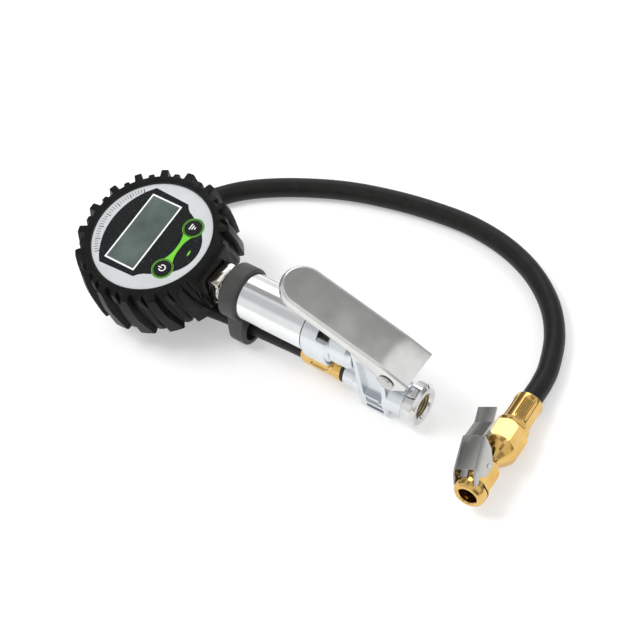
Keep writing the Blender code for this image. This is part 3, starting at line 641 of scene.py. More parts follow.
# ---- gauge head ----
# Down the boot's side: radius and station of the wall, of a tall block and of a short one.
BOOT_ROWS = [
    [(31.6, 0.2)] * 3,
    [(31.8, 1.1)] * 3,
    [(32.4, 1.5)] * 3,
    ((34.6, 1.5), (34.7, 1.5), (34.7, 1.5)),
    ((35.1, 1.2), (35.4, 1.4), (35.4, 1.25)),
    ((35.3, 0.6), (38.9, 1.2), (37.0, 0.8)),
    ((35.4, 0.0), (39.4, 0.7), (37.5, 0.2)),
    ((35.7, -1.5), (39.7, -1.0), (37.8, -1.5)),
    ((36.2, -4.5), (40.4, -5.5), (38.2, -4.6)),
    ((36.6, -7.0), (40.8, -9.5), (37.6, -7.2)),
    ((36.8, -9.0), (41.0, -13.0), (36.8, -9.0)),
    ((37.0, -14.0), (40.9, -17.0), (37.0, -14.0)),
    ((36.9, -20.0), (40.9, -21.5), (36.9, -20.0)),
    ((36.5, -24.5), (40.7, -26.2), (36.5, -24.5)),
    ((35.6, -26.2), (40.4, -26.6), (35.6, -26.2)),
    ((34.8, -26.6), (38.5, -26.7), (34.8, -26.6)),
    [(27.6, -26.6)] * 3,
    [(27.1, -26.2)] * 3,
    [(27.0, -24.7)] * 3,
]
BOOT_LEAN = 8.0            # degrees that a tread block turns from the front to the back
VALLEY_FILL = 2.0          # how much shallower the gaps between blocks are at the back
SHORT_STEP = 0.8           # how far a short block stands over those gaps there
STEM_ANGLE = 270.0
STEM_CLEAR = 19.0          # degrees to either side of the stem without blocks
BOOT_BORE = 31.4


def boot_columns(pitch, depth):
    """(turn, tall share, short share) of the columns of one pitch, centred on a tall block."""
    tall = 2.6 + 2.7 * depth
    short = 1.9
    slope = 0.9
    round_off = 0.28
    columns = []
    for middle, half, kind in ((0.0, tall, 0), (pitch / 2, short, 1)):
        side = [(half - round_off, 1.0), (half + round_off, 0.8), (half + slope, 0.0)]
        for turn, share in [(-turn, share) for turn, share in side[::-1]] + [(0.0, 1.0)] + side:
            columns.append((middle + turn, share if kind == 0 else 0.0, share if kind else 0.0))
    return columns


def make_boot():
    """Rubber boot: tall and short tread blocks in turn, leaning back along its side."""
    pitch = 360 / TREAD_COUNT
    bm = bmesh.new()
    rings = []
    for wall, tall, short in BOOT_ROWS:
        depth = min(1.0, max(0.0, -wall[1] / -BOOT_BACK))
        ring = []
        for index in range(TREAD_COUNT):
            middle = 90 + index * pitch
            for turn, tall_share, short_share in boot_columns(pitch, depth):
                front = middle + (0 if tall_share or turn < pitch / 4 else pitch / 2)
                near_stem = abs((front - STEM_ANGLE + 180) % 360 - 180) < STEM_CLEAR
                if near_stem:
                    tall_share = short_share = 0.0
                fill = 0.0 if near_stem or wall[0] < BOOT_BORE else depth
                valley = wall[0] + VALLEY_FILL * fill
                low = max(short[0], valley + SHORT_STEP * fill)
                radius = valley + (tall[0] - valley) * tall_share + (low - valley) * short_share
                station = (wall[1] + (tall[1] - wall[1]) * tall_share
                           + (short[1] - wall[1]) * short_share)
                a = math.radians(middle + turn + BOOT_LEAN * depth)
                ring.append(bm.verts.new((radius * math.cos(a), radius * math.sin(a), station)))
        rings.append(ring)
    count = len(rings[0])
    turns = [math.radians(90 + 360 * k / count) for k in range(count)]
    for station in (-24.7, 0.0):
        rings.append([bm.verts.new((BOOT_BORE * math.cos(a), BOOT_BORE * math.sin(a), station))
                      for a in turns])
    for low, high in zip(rings, rings[1:] + rings[:1]):
        skin(bm, low, high)
    shell = to_mesh(bm, HEAD)
    half = 13.3
    flat = -STEM_FLAT
    corners = [(12.2, -35.0, 1.2), (12.0, -31.8, 1.45), (half, flat, -1.6), (half, flat, -26.4),
               (half, -33.0, 0.2), (half, -32.0, -26.4)]
    collar = hull([(side * x, y, z) for x, y, z in corners for side in (-1, 1)], HEAD, 0.9)
    hole = block((SQUARE + 0.5, 6, SQUARE + 0.5), (0, flat, -HEAD_LIFT), HEAD, 0.5)
    collar = combine(collar, cuts=[hole])
    show("rubber_boot_tread", merged([shell, collar]), RUBBER, nodes=["rubber_boot"],
         angle=28)


def panel_outline():
    """Black field of the face: arched over the window, waisted down to the two buttons."""
    corner = math.degrees(math.atan2(25.5, 24.4))
    right = [(23.5, -5.8), (21.4, -7.6), (19.9, -9.6), (19.1, -11.6)]
    outline = arc((0, -10.3), 35.3, corner, 180 - corner, 24)
    outline += [(-x, y) for x, y in right]
    outline += arc((-BUTTON_X, BUTTON_Y), RING_R, 150, 275, 20)
    outline += arc((0, -11.5), 16.4, 224, 316, 24)
    outline += arc((BUTTON_X, BUTTON_Y), RING_R, -95, 30, 20)
    return outline + right[::-1]


def window_outline(grow, corner):
    return rounded(LCD_W + grow, LCD_H + grow, corner, (0, LCD_UP), 2)


def link_outline():
    """Hourglass strip between the rings of the two buttons."""
    upper = []
    lower = []
    count = 24
    for index in range(count + 1):
        x = -BUTTON_X + 2 * BUTTON_X * index / count
        t = abs(x) / BUTTON_X
        half = 0.95 + 4.2 * max(0.0, (t - 0.12) / 0.88) ** 1.7
        upper.append((x, BUTTON_Y + half))
        lower.append((x, BUTTON_Y - half))
    return lower + upper[::-1]


def face_ring(centre, outer, inner, top):
    """A flat ring on the face."""
    return slab([circle(centre, outer), circle(centre, inner)], 0.0, top, HEAD)


def face_plug(centre, radius, reach):
    """A cylinder through the face, to cut with."""
    return drum(radius, reach, -reach, HEAD, 48, soft=0, at=centre)


def make_ticks():
    """Scale of plain ticks on the silver band over the panel."""
    ticks = []
    for index in range(31):
        angle = math.radians(90 + 45.0 * (index - 15) / 15)
        major = index % 5 == 0
        inner = 26.7 if major else 27.5
        half = 0.26 if major else 0.17
        radial = Vector((math.cos(angle), math.sin(angle)))
        side = Vector((-radial.y, radial.x)) * half
        corners = [radial * inner - side, radial * 29.6 - side, radial * 29.6 + side,
                   radial * inner + side]
        ticks.append(slab([[tuple(c) for c in corners]], 0.0, 0.05, HEAD))
    show("scale_ticks", merged(ticks), DARK_PRINT)


def make_face():
    """Printed face: silver dial, black panel, white frame, green link, screen and buttons."""
    wells = [face_plug(centre, WELL_R, 4) for centre in BUTTONS]
    dial = combine(lathe([(0, 0.02), (FACE_R, 0.02), (FACE_R, -1.9), (0, -1.9)], HEAD, 128),
                   cuts=wells)
    show("dial_plate", dial, FACE_SILVER, nodes=["face_plate"])
    bezel = lathe([(31.35, -0.6), (31.9, -0.6), (32.0, 0.9), (31.75, 1.2), (31.45, 0.9)], HEAD, 128,
                  True, 0.1)
    show("dial_bezel", bezel, KEY_BLACK)
    holes = [circle(centre, WELL_R) for centre in BUTTONS]
    panel = slab([panel_outline(), window_outline(0, 0.4)] + holes, -0.3, 0.07, HEAD)
    show("panel_print", panel, PANEL, nodes=["face_panel"])
    border = slab([window_outline(2.8, 0.3), window_outline(1.1, 0.2)], 0.0, 0.11, HEAD)
    show("screen_frame", border, WHITE_PRINT)
    screen = slab([window_outline(1.2, 0.2)], -0.2, 0.09, HEAD)
    show("screen_glass", screen, SCREEN, nodes=["display_window"])
    rings = []
    olive = []
    for centre in BUTTONS:
        rings += [face_ring(centre, 5.6, 5.36, 0.13), face_ring(centre, 4.9, 4.72, 0.13)]
        olive.append(face_ring(centre, 5.4, 4.86, 0.12))
    strip = combine(slab([link_outline()], -0.2, 0.1, HEAD),
                    cuts=[face_plug(centre, 5.4, 2) for centre in BUTTONS])
    show("green_link", merged(rings + [strip]), GREEN_PRINT)
    show("button_rings", merged(olive), OLIVE_PRINT)
    mark = fillet([(-2.2, -23.6), (0.0, -24.0), (2.3, -23.2), (0.1, -22.8)], 0.5, True)
    show("green_mark", slab([mark], 0.0, 0.1, HEAD), GREEN_PRINT)
    make_ticks()


def make_buttons():
    """Two push buttons, each with a plain printed symbol."""
    cap = [(0, 0.55), (BUTTON_R - 0.1, 0.55), (BUTTON_R, 0.3), (BUTTON_R, -2.2), (2.0, -2.2),
           (2.0, -2.9), (0, -2.9)]
    for name, centre in zip(("on", "func"), BUTTONS):
        body = f"{name}_key"
        button = lathe(cap, HEAD, 64, soft=0.15, at=centre)
        show(f"{name}_button_cap", button, KEY_BLACK, body, [f"{name}_button"])
        if name == "on":
            ring = arc(centre, 1.9, 125, 415, 24) + arc(centre, 1.35, 415, 125, 24)
            marks = [ring, rounded(0.55, 2.2, 0.2, (centre[0], centre[1] + 1.3), 2)]
        else:
            marks = [rounded(3.6 - 1.1 * k, 0.62, 0.2, (centre[0], centre[1] + 1.25 - 1.25 * k), 2)
                     for k in range(3)]
        show(f"{name}_symbol", merged([slab([mark], 0.5, 0.62, HEAD) for mark in marks]),
             WHITE_PRINT, body)


# ---- stem and handle ----
def make_stem():
    """Fitting between head and handle, and the tape wound on its thread."""
    start = HEAD_X + 9.5
    neck = lathe([(0, -6.0), (5.9, -6.0), (5.9, -19.7), (6.6, -19.7), (6.6, -24.0), (4.8, -24.5),
                  (4.8, start + 12.8), (0, start + 12.8)], UPPER, 64)
    square = block((SQUARE, SQUARE, 6.9), (0, 0, -17.4), UPPER, 0.6)
    cone = lathe([(0, -14.6), (8.9, -14.6), (7.2, -12.6), (0, -12.6)], UPPER, 64)
    show("stem_square", combine(neck, adds=[square, cone]), NICKEL, nodes=["stem_fitting"])

    def wrinkle(angle, radius, station):
        crease = noise.noise(Vector((math.cos(angle) * 4, math.sin(angle) * 4, station * 1.3)))
        return radius + 0.55 * crease, station + 0.3 * crease
    profile = [(6.2, -9.0), (7.0, -9.0)]
    profile += [(7.0, -9.0 - 0.45 * k) for k in range(1, 10)]
    profile += [(7.6, -13.7), (8.3, -13.9), (8.9, -14.2), (9.1, -14.6), (9.0, -15.1), (8.6, -15.5),
                (6.2, -15.6)]
    tape = lathe(profile, UPPER, 120, True, 0, shape=wrinkle)
    show("tape_wrap", tape, TAPE, nodes=["thread_tape"])


def make_tube():
    inner = TUBE_R - 2.0
    profile = [(inner, TUBE_END), (TUBE_R, TUBE_END), (TUBE_R, -10.6), (TUBE_R - 0.5, -11.6),
               (10.0, -13.1), (9.0, TUBE_START), (7.9, TUBE_START), (7.6, -8.0), (inner, -6.5)]
    show("chrome_tube", lathe(profile, UPPER, 160, True, 0.3), CHROME, nodes=["handle_tube"])


def hook_outline():
    """Round-bottomed hook that hangs from the ring around the hose, as (Y, Z)."""
    outline = arc((-1.9, 9.7), 9.6, 180, 350, 24)
    return outline + [(8.6, 10.5), (9.2, 15.0), (9.0, 24.5), (-9.4, 24.5), (-11.2, 15.0)]


def make_clip():
    """Plastic ring on the tube with a hook under it around the hose."""
    turn = WORLD @ SIDE_ON
    ring = slab([circle((0, TUBE_Z), CLIP_R + 0.6)], CLIP_START, CLIP_END, turn, 0.7)
    hook = slab([hook_outline()], CLIP_START + 0.3, CLIP_END - 0.3, turn, 0.7)
    bores = [slab([outline], CLIP_START - 5, CLIP_END + 5, turn)
             for outline in (circle((0, TUBE_Z), TUBE_R + 0.15, 60),
                             circle((-1.9, 9.3), HOSE_R + 1.5))]
    mouth = block((40, 14, 8.4), (0, 6.4, 9.4), WORLD, 0.8)
    clip = combine(ring, adds=[hook], cuts=bores + [mouth])
    show("clip_ring", clip, CLIP_GREY, nodes=["hose_clip"])


# ---- valve block ----
def make_casting():
    """Casting that carries the valve: barrel, ribbed block, hose port, inlet neck."""
    barrel = lathe([(0, TUBE_END + 0.2), (TUBE_R, TUBE_END + 0.2), (TUBE_R, 51.0), (10.8, 52.6),
                    (10.8, 61.6), (9.4, 64.6), (0, 65.4)], UPPER, 128, soft=0.8)
    saddle = drum(12.9, 38.4, 51.3, UPPER, 128, soft=1.4, at=(2.2, 0))
    side = [(BLOCK_START + 2.2, 1.0), (BLOCK_END, 1.0), (BLOCK_END, 25.0), (PIVOT_X - 4.6, 33.0)]
    pivot = (PIVOT_X, PIVOT_Z)
    side += arc(pivot, 5.2, 225, 360, 12) + arc(pivot, 5.2, 20, 90, 6)
    side += [(PIVOT_X - 6, 42.0), (BLOCK_START, 42.0)]
    body = slab([side], -BLOCK_HALF, BLOCK_HALF, UPRIGHT, 0.7)
    port = drum(7.4, 70, WASHER_X + 1.2, LOWER)
    port_rim = lathe([(0, 66), (8.3, 66), (8.3, 62.2), (7.2, 61.2), (0, 61.2)], LOWER, 64)
    neck = lathe([(0, 92), (8.6, 92), (8.9, 86), (9.6, 80.5), (9.6, 78), (0, 78)], LOWER, 96,
                 soft=0.6)
    back, front = BLOCK_START, BLOCK_END - 2.2
    panel = [(back + 4.6, 11.4), (front, 11.4), (front, 26.6), (PIVOT_X - 7.8, 34.6),
             (back + 2.8, 37.4)]
    bar = [(back + 5.6, 6.4), (front, 6.4), (front, 10.6), (back + 5.4, 10.6)]
    slot = [(back + 5.6, 2.7), (front, 2.7), (front, 5.0), (back + 5.6, 5.0)]
    cuts = []
    for sign in (-1, 1):
        for outline, floor, corner in ((panel, 6.3, 1.2), (bar, 7.7, 0.6), (slot, 6.6, 0.5)):
            low, high = sorted((-sign * 12, -sign * floor))
            cuts.append(slab([fillet(outline, corner, True)], low, high, UPRIGHT))
    cuts.append(block((6.2, 40, 12), (NOTCH_X, 0, TUBE_Z + 12.6), WORLD, 0.6))
    cuts.append(slab([circle(pivot, 2.15, 24)], -20, 20, UPRIGHT))
    cuts += [block((1.5, 6.0, 7.0), (53.4, y, 32.0), WORLD, 0.6) for y in (-12.6, 12.6)]
    casting = combine(barrel, adds=[saddle, body, port, port_rim, neck], cuts=cuts)
    show("valve_casting", casting, CASTING, nodes=["valve_block"], angle=30)


def make_notch_painted_shade():
    """Dark block on the floor of the barrel's open notch: painted shade, standing in for the shadow
    inside the notch.
    """
    # painted shade: a dark plastic block where the notch only has shadow
    shade_block = block((6.0, 15.6, 1.4), (NOTCH_X, 0, TUBE_Z + 6.5), WORLD, 0.3)
    show("notch_painted_shade", shade_block, PLASTIC)


def make_inlet():
    """Inlet boss with a chamfered rim and a threaded bore."""
    end = INLET_X
    back = end - 7.6
    rim = [(7.0, end), (9.5, end), (11.0, end - 1.6), (11.0, back + 1.4), (9.8, back),
           (6.2, back - 0.6), (6.2, end - 1.2)]
    show("inlet_boss", lathe(rim, LOWER, 128, True, 0.35), INLET_CHROME)
    pitch = 1.41

    def thread(angle, radius, station):
        wave = (station / pitch + angle / math.tau) % 1.0
        cut = 0.55 * (1 - abs(2 * wave - 1))
        return (radius - cut, station) if radius < 6.15 else (radius, station)
    bore = [(6.5, end - 1.3)] + [(6.1, end - 1.3 - 0.1 * k) for k in range(112)]
    bore += [(3.0, end - 12.6), (2.8, end - 13.5), (0, end - 13.6), (0, end - 14.4),
             (6.5, end - 14.4)]
    show("inlet_thread", lathe(bore, LOWER, 96, True, 0, shape=thread), THREAD_BRASS,
         angle=60)


def make_valve():
    """Plunger under the lever and the bush that it slides in."""
    place = (PLUNGER_X, 0)
    plunger = lathe([(0, 48.5), (1.6, 48.1), (2.6, 46.8), (2.6, 27.2), (3.9, 27.2), (3.9, 24.4),
                     (1.5, 24.4), (1.5, 20.5), (0, 20.5)], WORLD, 48, at=place)
    show("plunger_stem", plunger, STEEL, "plunger", ["valve_plunger"])
    bush = lathe([(2.9, 43.5), (5.6, 43.5), (5.6, 42.1), (3.7, 42.1), (3.7, 34.2), (2.9, 34.2)],
                 WORLD, 48, True, 0.15, at=place)
    show("bush_ring", bush, BRASS, nodes=["valve_bush"])


# ---- lever ----
def lever_depth(x, pivot):
    """How far the lever's side hangs below its top, by the place along it."""
    hold = EAR_R * 0.94                   # how far to either side the ear stays round
    low = -pivot[1] + EAR_R * 0.34        # how low it is there
    reach = x - pivot[0]
    if abs(reach) <= hold:
        return max(LEVER_RIM, -pivot[1] + math.sqrt(EAR_R * EAR_R - reach * reach))
    if reach < 0:
        return END_RIM + (low - END_RIM) * max(0.0, x / (pivot[0] - hold))
    start = pivot[0] + hold
    share = min(1.0, (x - start) / (RIM_START - start))
    return LEVER_RIM + (low - LEVER_RIM) * (1 - share)


def make_lever():
    """Pressed-steel lever: flat top, rolled edge, turned-down rim that widens to two ears."""
    to_lever = LEVER.inverted() @ ((Vector((PIVOT_X, 0, PIVOT_Z)) + SHIFT) * MM) / MM
    pivot = (to_lever.x, to_lever.z)
    path = []
    straight = LEVER_LENGTH - LEVER_HALF
    count = 150
    for index in range(count + 1):
        path.append((straight * index / count, -LEVER_HALF, 0.0, -1.0))
    for x, y in arc((0, 0), 1.0, -90, 90, 64)[1:-1]:
        path.append((straight + x * LEVER_HALF, y * LEVER_HALF, x, y))
    for index in range(count + 1):
        path.append((straight * (count - index) / count, LEVER_HALF, 0.0, 1.0))
    bend = 1.9
    bm = bmesh.new()
    rings = []
    for x, y, nx, ny in path:
        depth = lever_depth(x, pivot)
        section = [(bend, 0.0)]
        for step in range(1, 7):
            a = math.radians(90 * step / 6)
            section.append((bend - bend * math.sin(a), -bend + bend * math.cos(a)))
        section += [(0.0, -depth + 0.3), (0.12, -depth + 0.06), (0.4, -depth),
                    (LEVER_SHEET - 0.3, -depth), (LEVER_SHEET, -depth + 0.3),
                    (LEVER_SHEET, -LEVER_SHEET - 0.8), (bend, -LEVER_SHEET)]
        rings.append([bm.verts.new((x - nx * inset, y - ny * inset, crown(x) + z))
                      for inset, z in section])
    for low, high in zip(rings, rings[1:]):
        skin(bm, low, high, closed=False)
    half = len(rings) // 2
    for k in (0, -1):
        for index in range(half):
            one, two = rings[index][k], rings[index + 1][k]
            three, four = rings[-index - 2][k], rings[-index - 1][k]
            corners = [one, two] + ([three] if three is not two else []) + [four]
            if len(set(corners)) > 2:
                bm.faces.new(corners)
    bm.faces.new(rings[0] + rings[-1][::-1])
    show("lever_plate", to_mesh(bm, LEVER), LEVER_STEEL, "lever", ["trigger_lever"], 50)


def crown(x):
    """The lever's top dips slightly towards the inlet, over its ears."""
    bend_end, bend_start, slope = 10.0, 17.0, 0.10
    if x > bend_start:
        return 0.0
    into = min(bend_start - x, bend_start - bend_end)
    drop = slope * into * into / (2 * (bend_start - bend_end))
    return -drop - slope * max(0.0, bend_end - x)


def make_pivot():
    """Rivet with two domed heads, on which the lever turns."""
    reach = LEVER_HALF + 0.3
    half = [(0, 13.6), (1.6, 13.45), (3.2, 12.9), (4.2, 12.1), (4.2, reach), (2.0, reach)]
    profile = half + [(r, -z) for r, z in reversed(half)]
    across = turned(WORLD, (PIVOT_X, 0, PIVOT_Z), 90, "X")
    show("pivot_rivet", lathe(profile, across, 64), STEEL, nodes=["pivot_pin"])


# ---- hose fittings ----
def crimp(centres, half_width, start, end, depth, base):
    """Shape of a ferrule with long round-ended slots pressed into it."""
    def shape(angle, radius, station):
        if radius < base - 0.05:
            return radius, station
        for centre in centres:
            away = (angle - centre + math.pi) % math.tau - math.pi
            across = away * base
            along = max(start + half_width - station, station - (end - half_width), 0.0)
            reach = math.hypot(across, along)
            if reach < half_width + 0.9:
                inside = min(1.0, max(0.0, (half_width - reach) / 0.7))
                lip = math.exp(-((reach - half_width - 0.25) / 0.35) ** 2)
                return radius - depth * inside * inside * (3 - 2 * inside) + 0.28 * lip, station
        return radius, station
    return shape


def dense(profile, step=0.35):
    """The profile with points added so that no stretch is longer than step."""
    line = [profile[0]]
    for (r1, z1), (r2, z2) in zip(profile, profile[1:]):
        count = max(1, math.ceil(math.hypot(r2 - r1, z2 - z1) / step))
        line += [(r1 + (r2 - r1) * k / count, z1 + (z2 - z1) * k / count)
                 for k in range(1, count + 1)]
    return line


def make_near_fitting():
    """Crimped ferrule, collar and washer where the hose meets the block."""
    over = HOSE_R + 0.1
    profile = dense(fillet([(over, 30.2), (5.9, 30.0), (6.75, 32.6), (6.75, 47.4), (5.7, 48.8),
                            (5.7, 49.4)], 0.4)) + [(2.7, 49.4), (2.7, 46.0), (over, 46.0)]
    shape = crimp([math.radians(a) for a in (10, 130, 250)], 2.0, 36.5, 47.0, 0.75, 6.7)
    body = lathe(profile, LOWER, 192, True, 0, shape=shape)
    collar = lathe([(2.8, 49.2), (6.4, 49.2), (7.05, 49.9), (7.05, WASHER_X - 0.9),
                    (2.8, WASHER_X - 0.9)], LOWER, 96, True, 0.25)
    show("near_crimp", merged([body, collar]), BRASS, nodes=["near_ferrule"])
    washer = lathe([(3.0, WASHER_X + 1.1), (6.9, WASHER_X + 1.1), (6.9, WASHER_X - 0.8),
                    (3.0, WASHER_X - 0.8)], LOWER, 96, True, 0.3)
    show("washer_ring", washer, SEAL, nodes=["port_washer"])


def make_far_fitting():
    """Ferrule on the hose's far end, with long pressed slots, and its turned neck."""
    over = HOSE_R + 0.1
    profile = dense(fillet([(over, 4.3), (6.2, 4.2), (6.9, 5.0), (7.0, 20.6), (6.8, 21.2),
                            (7.9, 21.5), (8.2, 22.2), (7.9, 22.9), (7.6, 23.9)], 0.4))
    profile += [(2.0, 23.9), (2.0, 15.2), (over, 15.2)]
    shape = crimp([math.radians(a) for a in (40, 130, 220, 310)], 2.3, 6.2, 20.4, 1.1, 6.8)
    show("far_crimp", lathe(profile, CHUCK, 224, True, 0, shape=shape), BRASS,
         nodes=["far_ferrule"])
    flats = CHUCK_HEX / math.sqrt(3)
    hexagon = slab([arc((0, 0), flats, 30, 330, 5)], 24.0, 37.8, CHUCK, 0.15)
    chamfer = lathe([(0, 23.8), (7.9, 23.8), (8.9, 25.0), (flats + 0.2, 27.2), (flats + 0.2, 34.6),
                     (9.4, 36.6), (7.8, 38.2), (0, 38.2)], CHUCK, 96, soft=0)
    show("hexagon_nut", combine(hexagon, keeps=[chamfer]), BRASS, nodes=["chuck_nut"],
         angle=20)


def make_chuck():
    """Turned chuck body with flats for its clip, a slit and an open round mouth."""
    end = CHUCK_LENGTH
    outside = [(0, 35.2), (9.0, 35.2), (9.35, 36.6), (9.0, 38.4), (7.2, 41.4),
               (4.6, 44.4), (4.6, 46.0), (6.6, 48.6), (6.9, 50.0), (6.9, 58.4), (7.6, 60.2),
               (7.8, 61.6), (7.8, 64.2), (7.4, 66.2), (6.2, end), (0, end)]
    body = lathe(outside, CHUCK, 128, soft=0.7)
    mouth = lathe([(0, end + 2), (6.4, end + 2), (4.5, end - 0.6), (4.35, end - 1.4), (4.35, 55.0),
                   (1.6, 55.0), (1.6, 40), (0, 40)], CHUCK, 96, soft=0.15)
    flat = CLIP_HALF - CLIP_SHEET - 0.3
    cuts = [mouth]
    for side in (-1, 1):
        cuts.append(block((8, 24, 15.5), (side * (flat + 4), 2.0, 53.4), CHUCK, 0.2))
        cuts.append(block((4, 7.4, 0.8), (side * 6.7, -1.4, 62.2), CHUCK, 0.0))
    show("chuck_turned", combine(body, cuts=cuts), BRASS, nodes=["chuck_body"],
         angle=30)


def make_chuck_clip():
    """Bent sheet: thumb tab, top panel, two sides on the pin, claws at the mouth."""
    sheet = CLIP_SHEET
    line = [(19.8, 29.4), (16.6, 36.2), (16.8, 45.5), (10.1, 60.3)]
    under = [(18.95, 29.1), (16.6 - sheet, 36.0), (16.8 - sheet, 45.2), (9.3, 59.8)]
    tab = line[:3] + under[2::-1]
    top = [line[2], line[3], under[3], under[2]]
    turn = CHUCK @ SIDE_ON
    pieces = [slab([fillet(tab, 0.9, True)], -5.4, 5.4, turn, 0.2),
              slab([fillet(top, 0.1, True)], -CLIP_HALF + 0.3, CLIP_HALF - 0.3, turn, 0.1)]
    cheek = [(16.9, 44.9), (16.3, 46.8), (10.3, 60.2), (8.6, 62.6), (4.9, 65.4), (3.4, 64.2),
             (5.6, 60.6), (2.8, 57.4), (2.6, 50.2), (9.5, 45.6)]
    for side in (-1, 1):
        low, high = sorted((side * CLIP_HALF, side * (CLIP_HALF - sheet)))
        pieces.append(slab([fillet(cheek, 0.6, True)], low, high, turn, 0.2))
    tongue = [(10.1, 60.0), (8.4, 63.2), (7.7, 62.8), (9.3, 59.7)]
    pieces.append(slab([tongue], -2.0, 2.0, turn, 0.1))
    show("thumb_clip", merged(pieces), SHEET_STEEL, "chuck_lever", ["chuck_clip"])
    pin = turned(CHUCK, (0, CHUCK_PIVOT_H, CHUCK_PIVOT_T), 90, "Y")
    reach = CLIP_HALF + 0.4
    show("clip_pin", lathe([(0, reach), (0.9, reach), (1.1, reach - 0.25), (1.1, 0.25 - reach),
                            (0.9, -reach), (0, -reach)], pin, 32, soft=0.1), STEEL,
         nodes=["chuck_pin"])


def coil(radius, low, high, turns, at=(0.0, 0.0)):
    """Points of a coil spring about Z, its last turn at each end wound flat."""
    points = []
    count = turns * 24
    for index in range(count + 1):
        angle = math.tau * index / 24
        rise = min(1.0, max(0.0, (angle - 3.0) / (math.tau * turns - 6.0)))
        points.append((at[0] + radius * math.cos(angle), at[1] + radius * math.sin(angle),
                       low + (high - low) * rise))
    return points


def make_springs():
    """Coil springs under the plunger and under the chuck's clip."""
    valve = tube(coil(3.0, 5.7, 23.5, 7, (PLUNGER_X, 0)), 0.4, WORLD)
    spring = show("plunger_coil", valve, STEEL, nodes=["valve_spring"])
    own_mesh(spring)
    on_end = turned(CHUCK, (0, 0, CHUCK_SPRING_T), -90, "X")
    clip = show("clip_coil", tube(coil(2.0, 10.3, 15.0, 5), 0.3, on_end), STEEL,
                nodes=["chuck_spring"])
    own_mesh(clip)


def finish_cad_nodes():
    """Materials of the CAD nodes that show as they are."""
    looks = [(STEEL, "case_screw_1 case_screw_2 case_screw_3"),
             (STEEL, "func_switch on_switch pressure_sensor"),
             (PLASTIC, "battery_cover gauge_case"), (SEAL, "bush_seal chuck_seal"),
             (BRASS, "chuck_depressor valve_plug"), (CELL, "battery_1 battery_2"),
             (BOARD, "circuit_board"), (SCREEN, "lcd_display")]
    for material, names in looks:
        for name in names.split():
            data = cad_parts[name].data
            data.materials.clear()
            data.materials.append(material)


# ---- stage ----
# Soft patches of the studio: towards, full within and gone beyond (degrees), grey level.
STUDIO_PATCHES = [
    ((-0.42, 0.60, 0.68), 5, 18, 3.4),        # window behind, over the chuck's nut
    ((0.40, 0.66, 0.64), 5, 18, 0.45),        # over the ferrule
    ((0.08, 0.50, 0.86), 11, 22, 0.39),       # over the lever
    ((0.42, 0.42, 0.79), 7, 14, 1.1),         # window over the lever's inlet end
    ((-0.42, 0.16, 0.89), 7, 17, 0.42),       # over the dial
    ((-0.42, -0.50, 0.78), 6, 26, 0.66),      # along the tube's near shoulder
    ((-0.95, 0.28, 0.15), 18, 40, 0.22),      # behind the chuck's clip
    ((0.55, -0.75, 0.25), 6, 30, 0.30),       # before the chuck
    ((0.10, 0.98, 0.10), 8, 30, 0.35),        # behind the tool
    ((0.80, 0.59, 0.04), 12, 30, 0.35),       # to the right
    ((0.42, -0.45, 0.79), 3, 12, 0.12),       # where the picture is taken from
]

WHITE = (1.0, 1.0, 1.0, 1.0)
BACKDROP = (1.1, 1.1, 1.1, 1.0)       # what lies past the floor, seen straight
STUDIO_STRENGTH = 0.9
FLOOR_SIZE = 3.0                      # metres
FLOOR_Z = -0.0004                     # metres
FLOOR_GREY = 0.62
FLOOR_GLOW = 0.36
LIGHTS = [                            # name, place and aim in metres, size, watts
    ("key", (-0.45, -0.25, 0.95), (0.02, 0.0, 0.02), 0.45, 7.0),
    ("fill", (0.8, 0.5, 0.7), (0.05, 0.0, 0.02), 0.6, 2.5),
]


def make_floor():
    """Plain pale floor that glows a little, so that it comes out nearly white."""
    bm = bmesh.new()
    bmesh.ops.create_grid(bm, x_segments=1, y_segments=1, size=FLOOR_SIZE)
    mesh = bpy.data.meshes.new("floor")
    bm.to_mesh(mesh)
    bm.free()
    floor = put("floor", mesh)
    floor.location.z = FLOOR_Z
    pale = new_material("floor_pale", (FLOOR_GREY,) * 3, 0.6)
    shader_input(pale, "Emission Color").default_value = WHITE
    shader_input(pale, "Emission Strength").default_value = FLOOR_GLOW
    mesh.materials.append(pale)


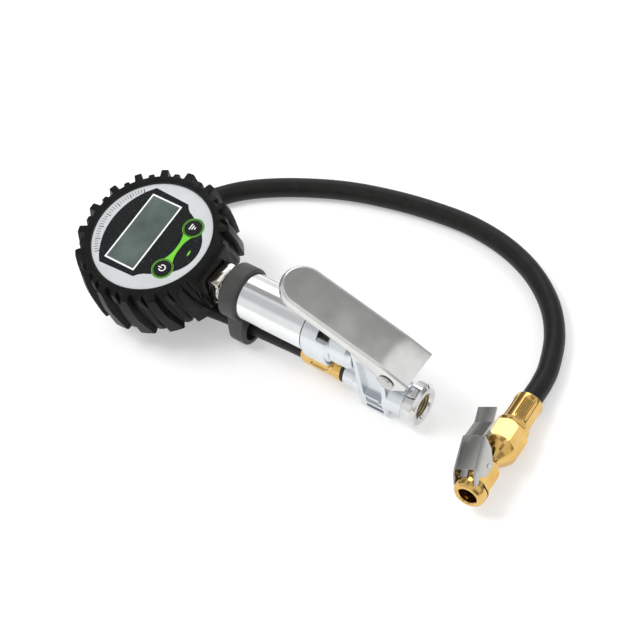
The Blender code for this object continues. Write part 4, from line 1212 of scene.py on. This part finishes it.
def add_light(name, place, aim, size, power):
    """Soft square light that polished faces don't mirror."""
    data = bpy.data.lights.new(name, "AREA")
    data.shape = "RECTANGLE"
    data.size = data.size_y = size
    data.energy = power
    light = put(name, data)
    light.location = place
    light.visible_glossy = False
    light.rotation_mode = "QUATERNION"
    light.rotation_quaternion = (Vector(aim) - Vector(place)).to_track_quat("-Z", "Y")


def make_world():
    """White studio with soft grey patches, which the polished faces reflect."""
    world = bpy.context.scene.world = bpy.data.worlds.new("studio")
    world.use_nodes = True
    nodes, link = world.node_tree.nodes, world.node_tree.links.new
    place = nodes.new("ShaderNodeTexCoord")
    white = nodes.new("ShaderNodeRGB")
    white.outputs[0].default_value = WHITE
    colour = white.outputs[0]
    for aim, full, gone, grey in STUDIO_PATCHES:
        dot = nodes.new("ShaderNodeVectorMath")
        dot.operation = "DOT_PRODUCT"
        dot.inputs[1].default_value = Vector(aim).normalized()
        link(place.outputs["Generated"], dot.inputs[0])
        patch = nodes.new("ShaderNodeMapRange")
        patch.interpolation_type = "SMOOTHSTEP"
        patch.inputs["From Min"].default_value = math.cos(math.radians(gone))
        patch.inputs["From Max"].default_value = math.cos(math.radians(full))
        link(dot.outputs["Value"], patch.inputs["Value"])
        factor, first, second, result = colour_mix(world.node_tree)
        link(colour, first)
        second.default_value = (grey, grey, grey * 1.01, 1.0)
        link(patch.outputs["Result"], factor)
        colour = result
    factor, first, second, result = colour_mix(world.node_tree)
    link(colour, first)
    second.default_value = BACKDROP
    link(nodes.new("ShaderNodeLightPath").outputs["Is Camera Ray"], factor)
    link(result, nodes["Background"].inputs["Color"])
    nodes["Background"].inputs["Strength"].default_value = STUDIO_STRENGTH


def make_stage():
    make_floor()
    make_world()
    for light in LIGHTS:
        add_light(*light)
    bpy.context.scene.view_settings.view_transform = "Standard"


# ---- build ----
def build():
    hose = make_hose()
    for make in (make_boot, make_face, make_buttons, make_stem, make_tube, make_clip, make_casting,
                 make_notch_painted_shade, make_inlet, make_valve, make_lever, make_pivot,
                 make_near_fitting, make_far_fitting, make_chuck, make_chuck_clip, make_springs,
                 finish_cad_nodes, make_stage):
        make()
    bpy.context.view_layer.update()


build()
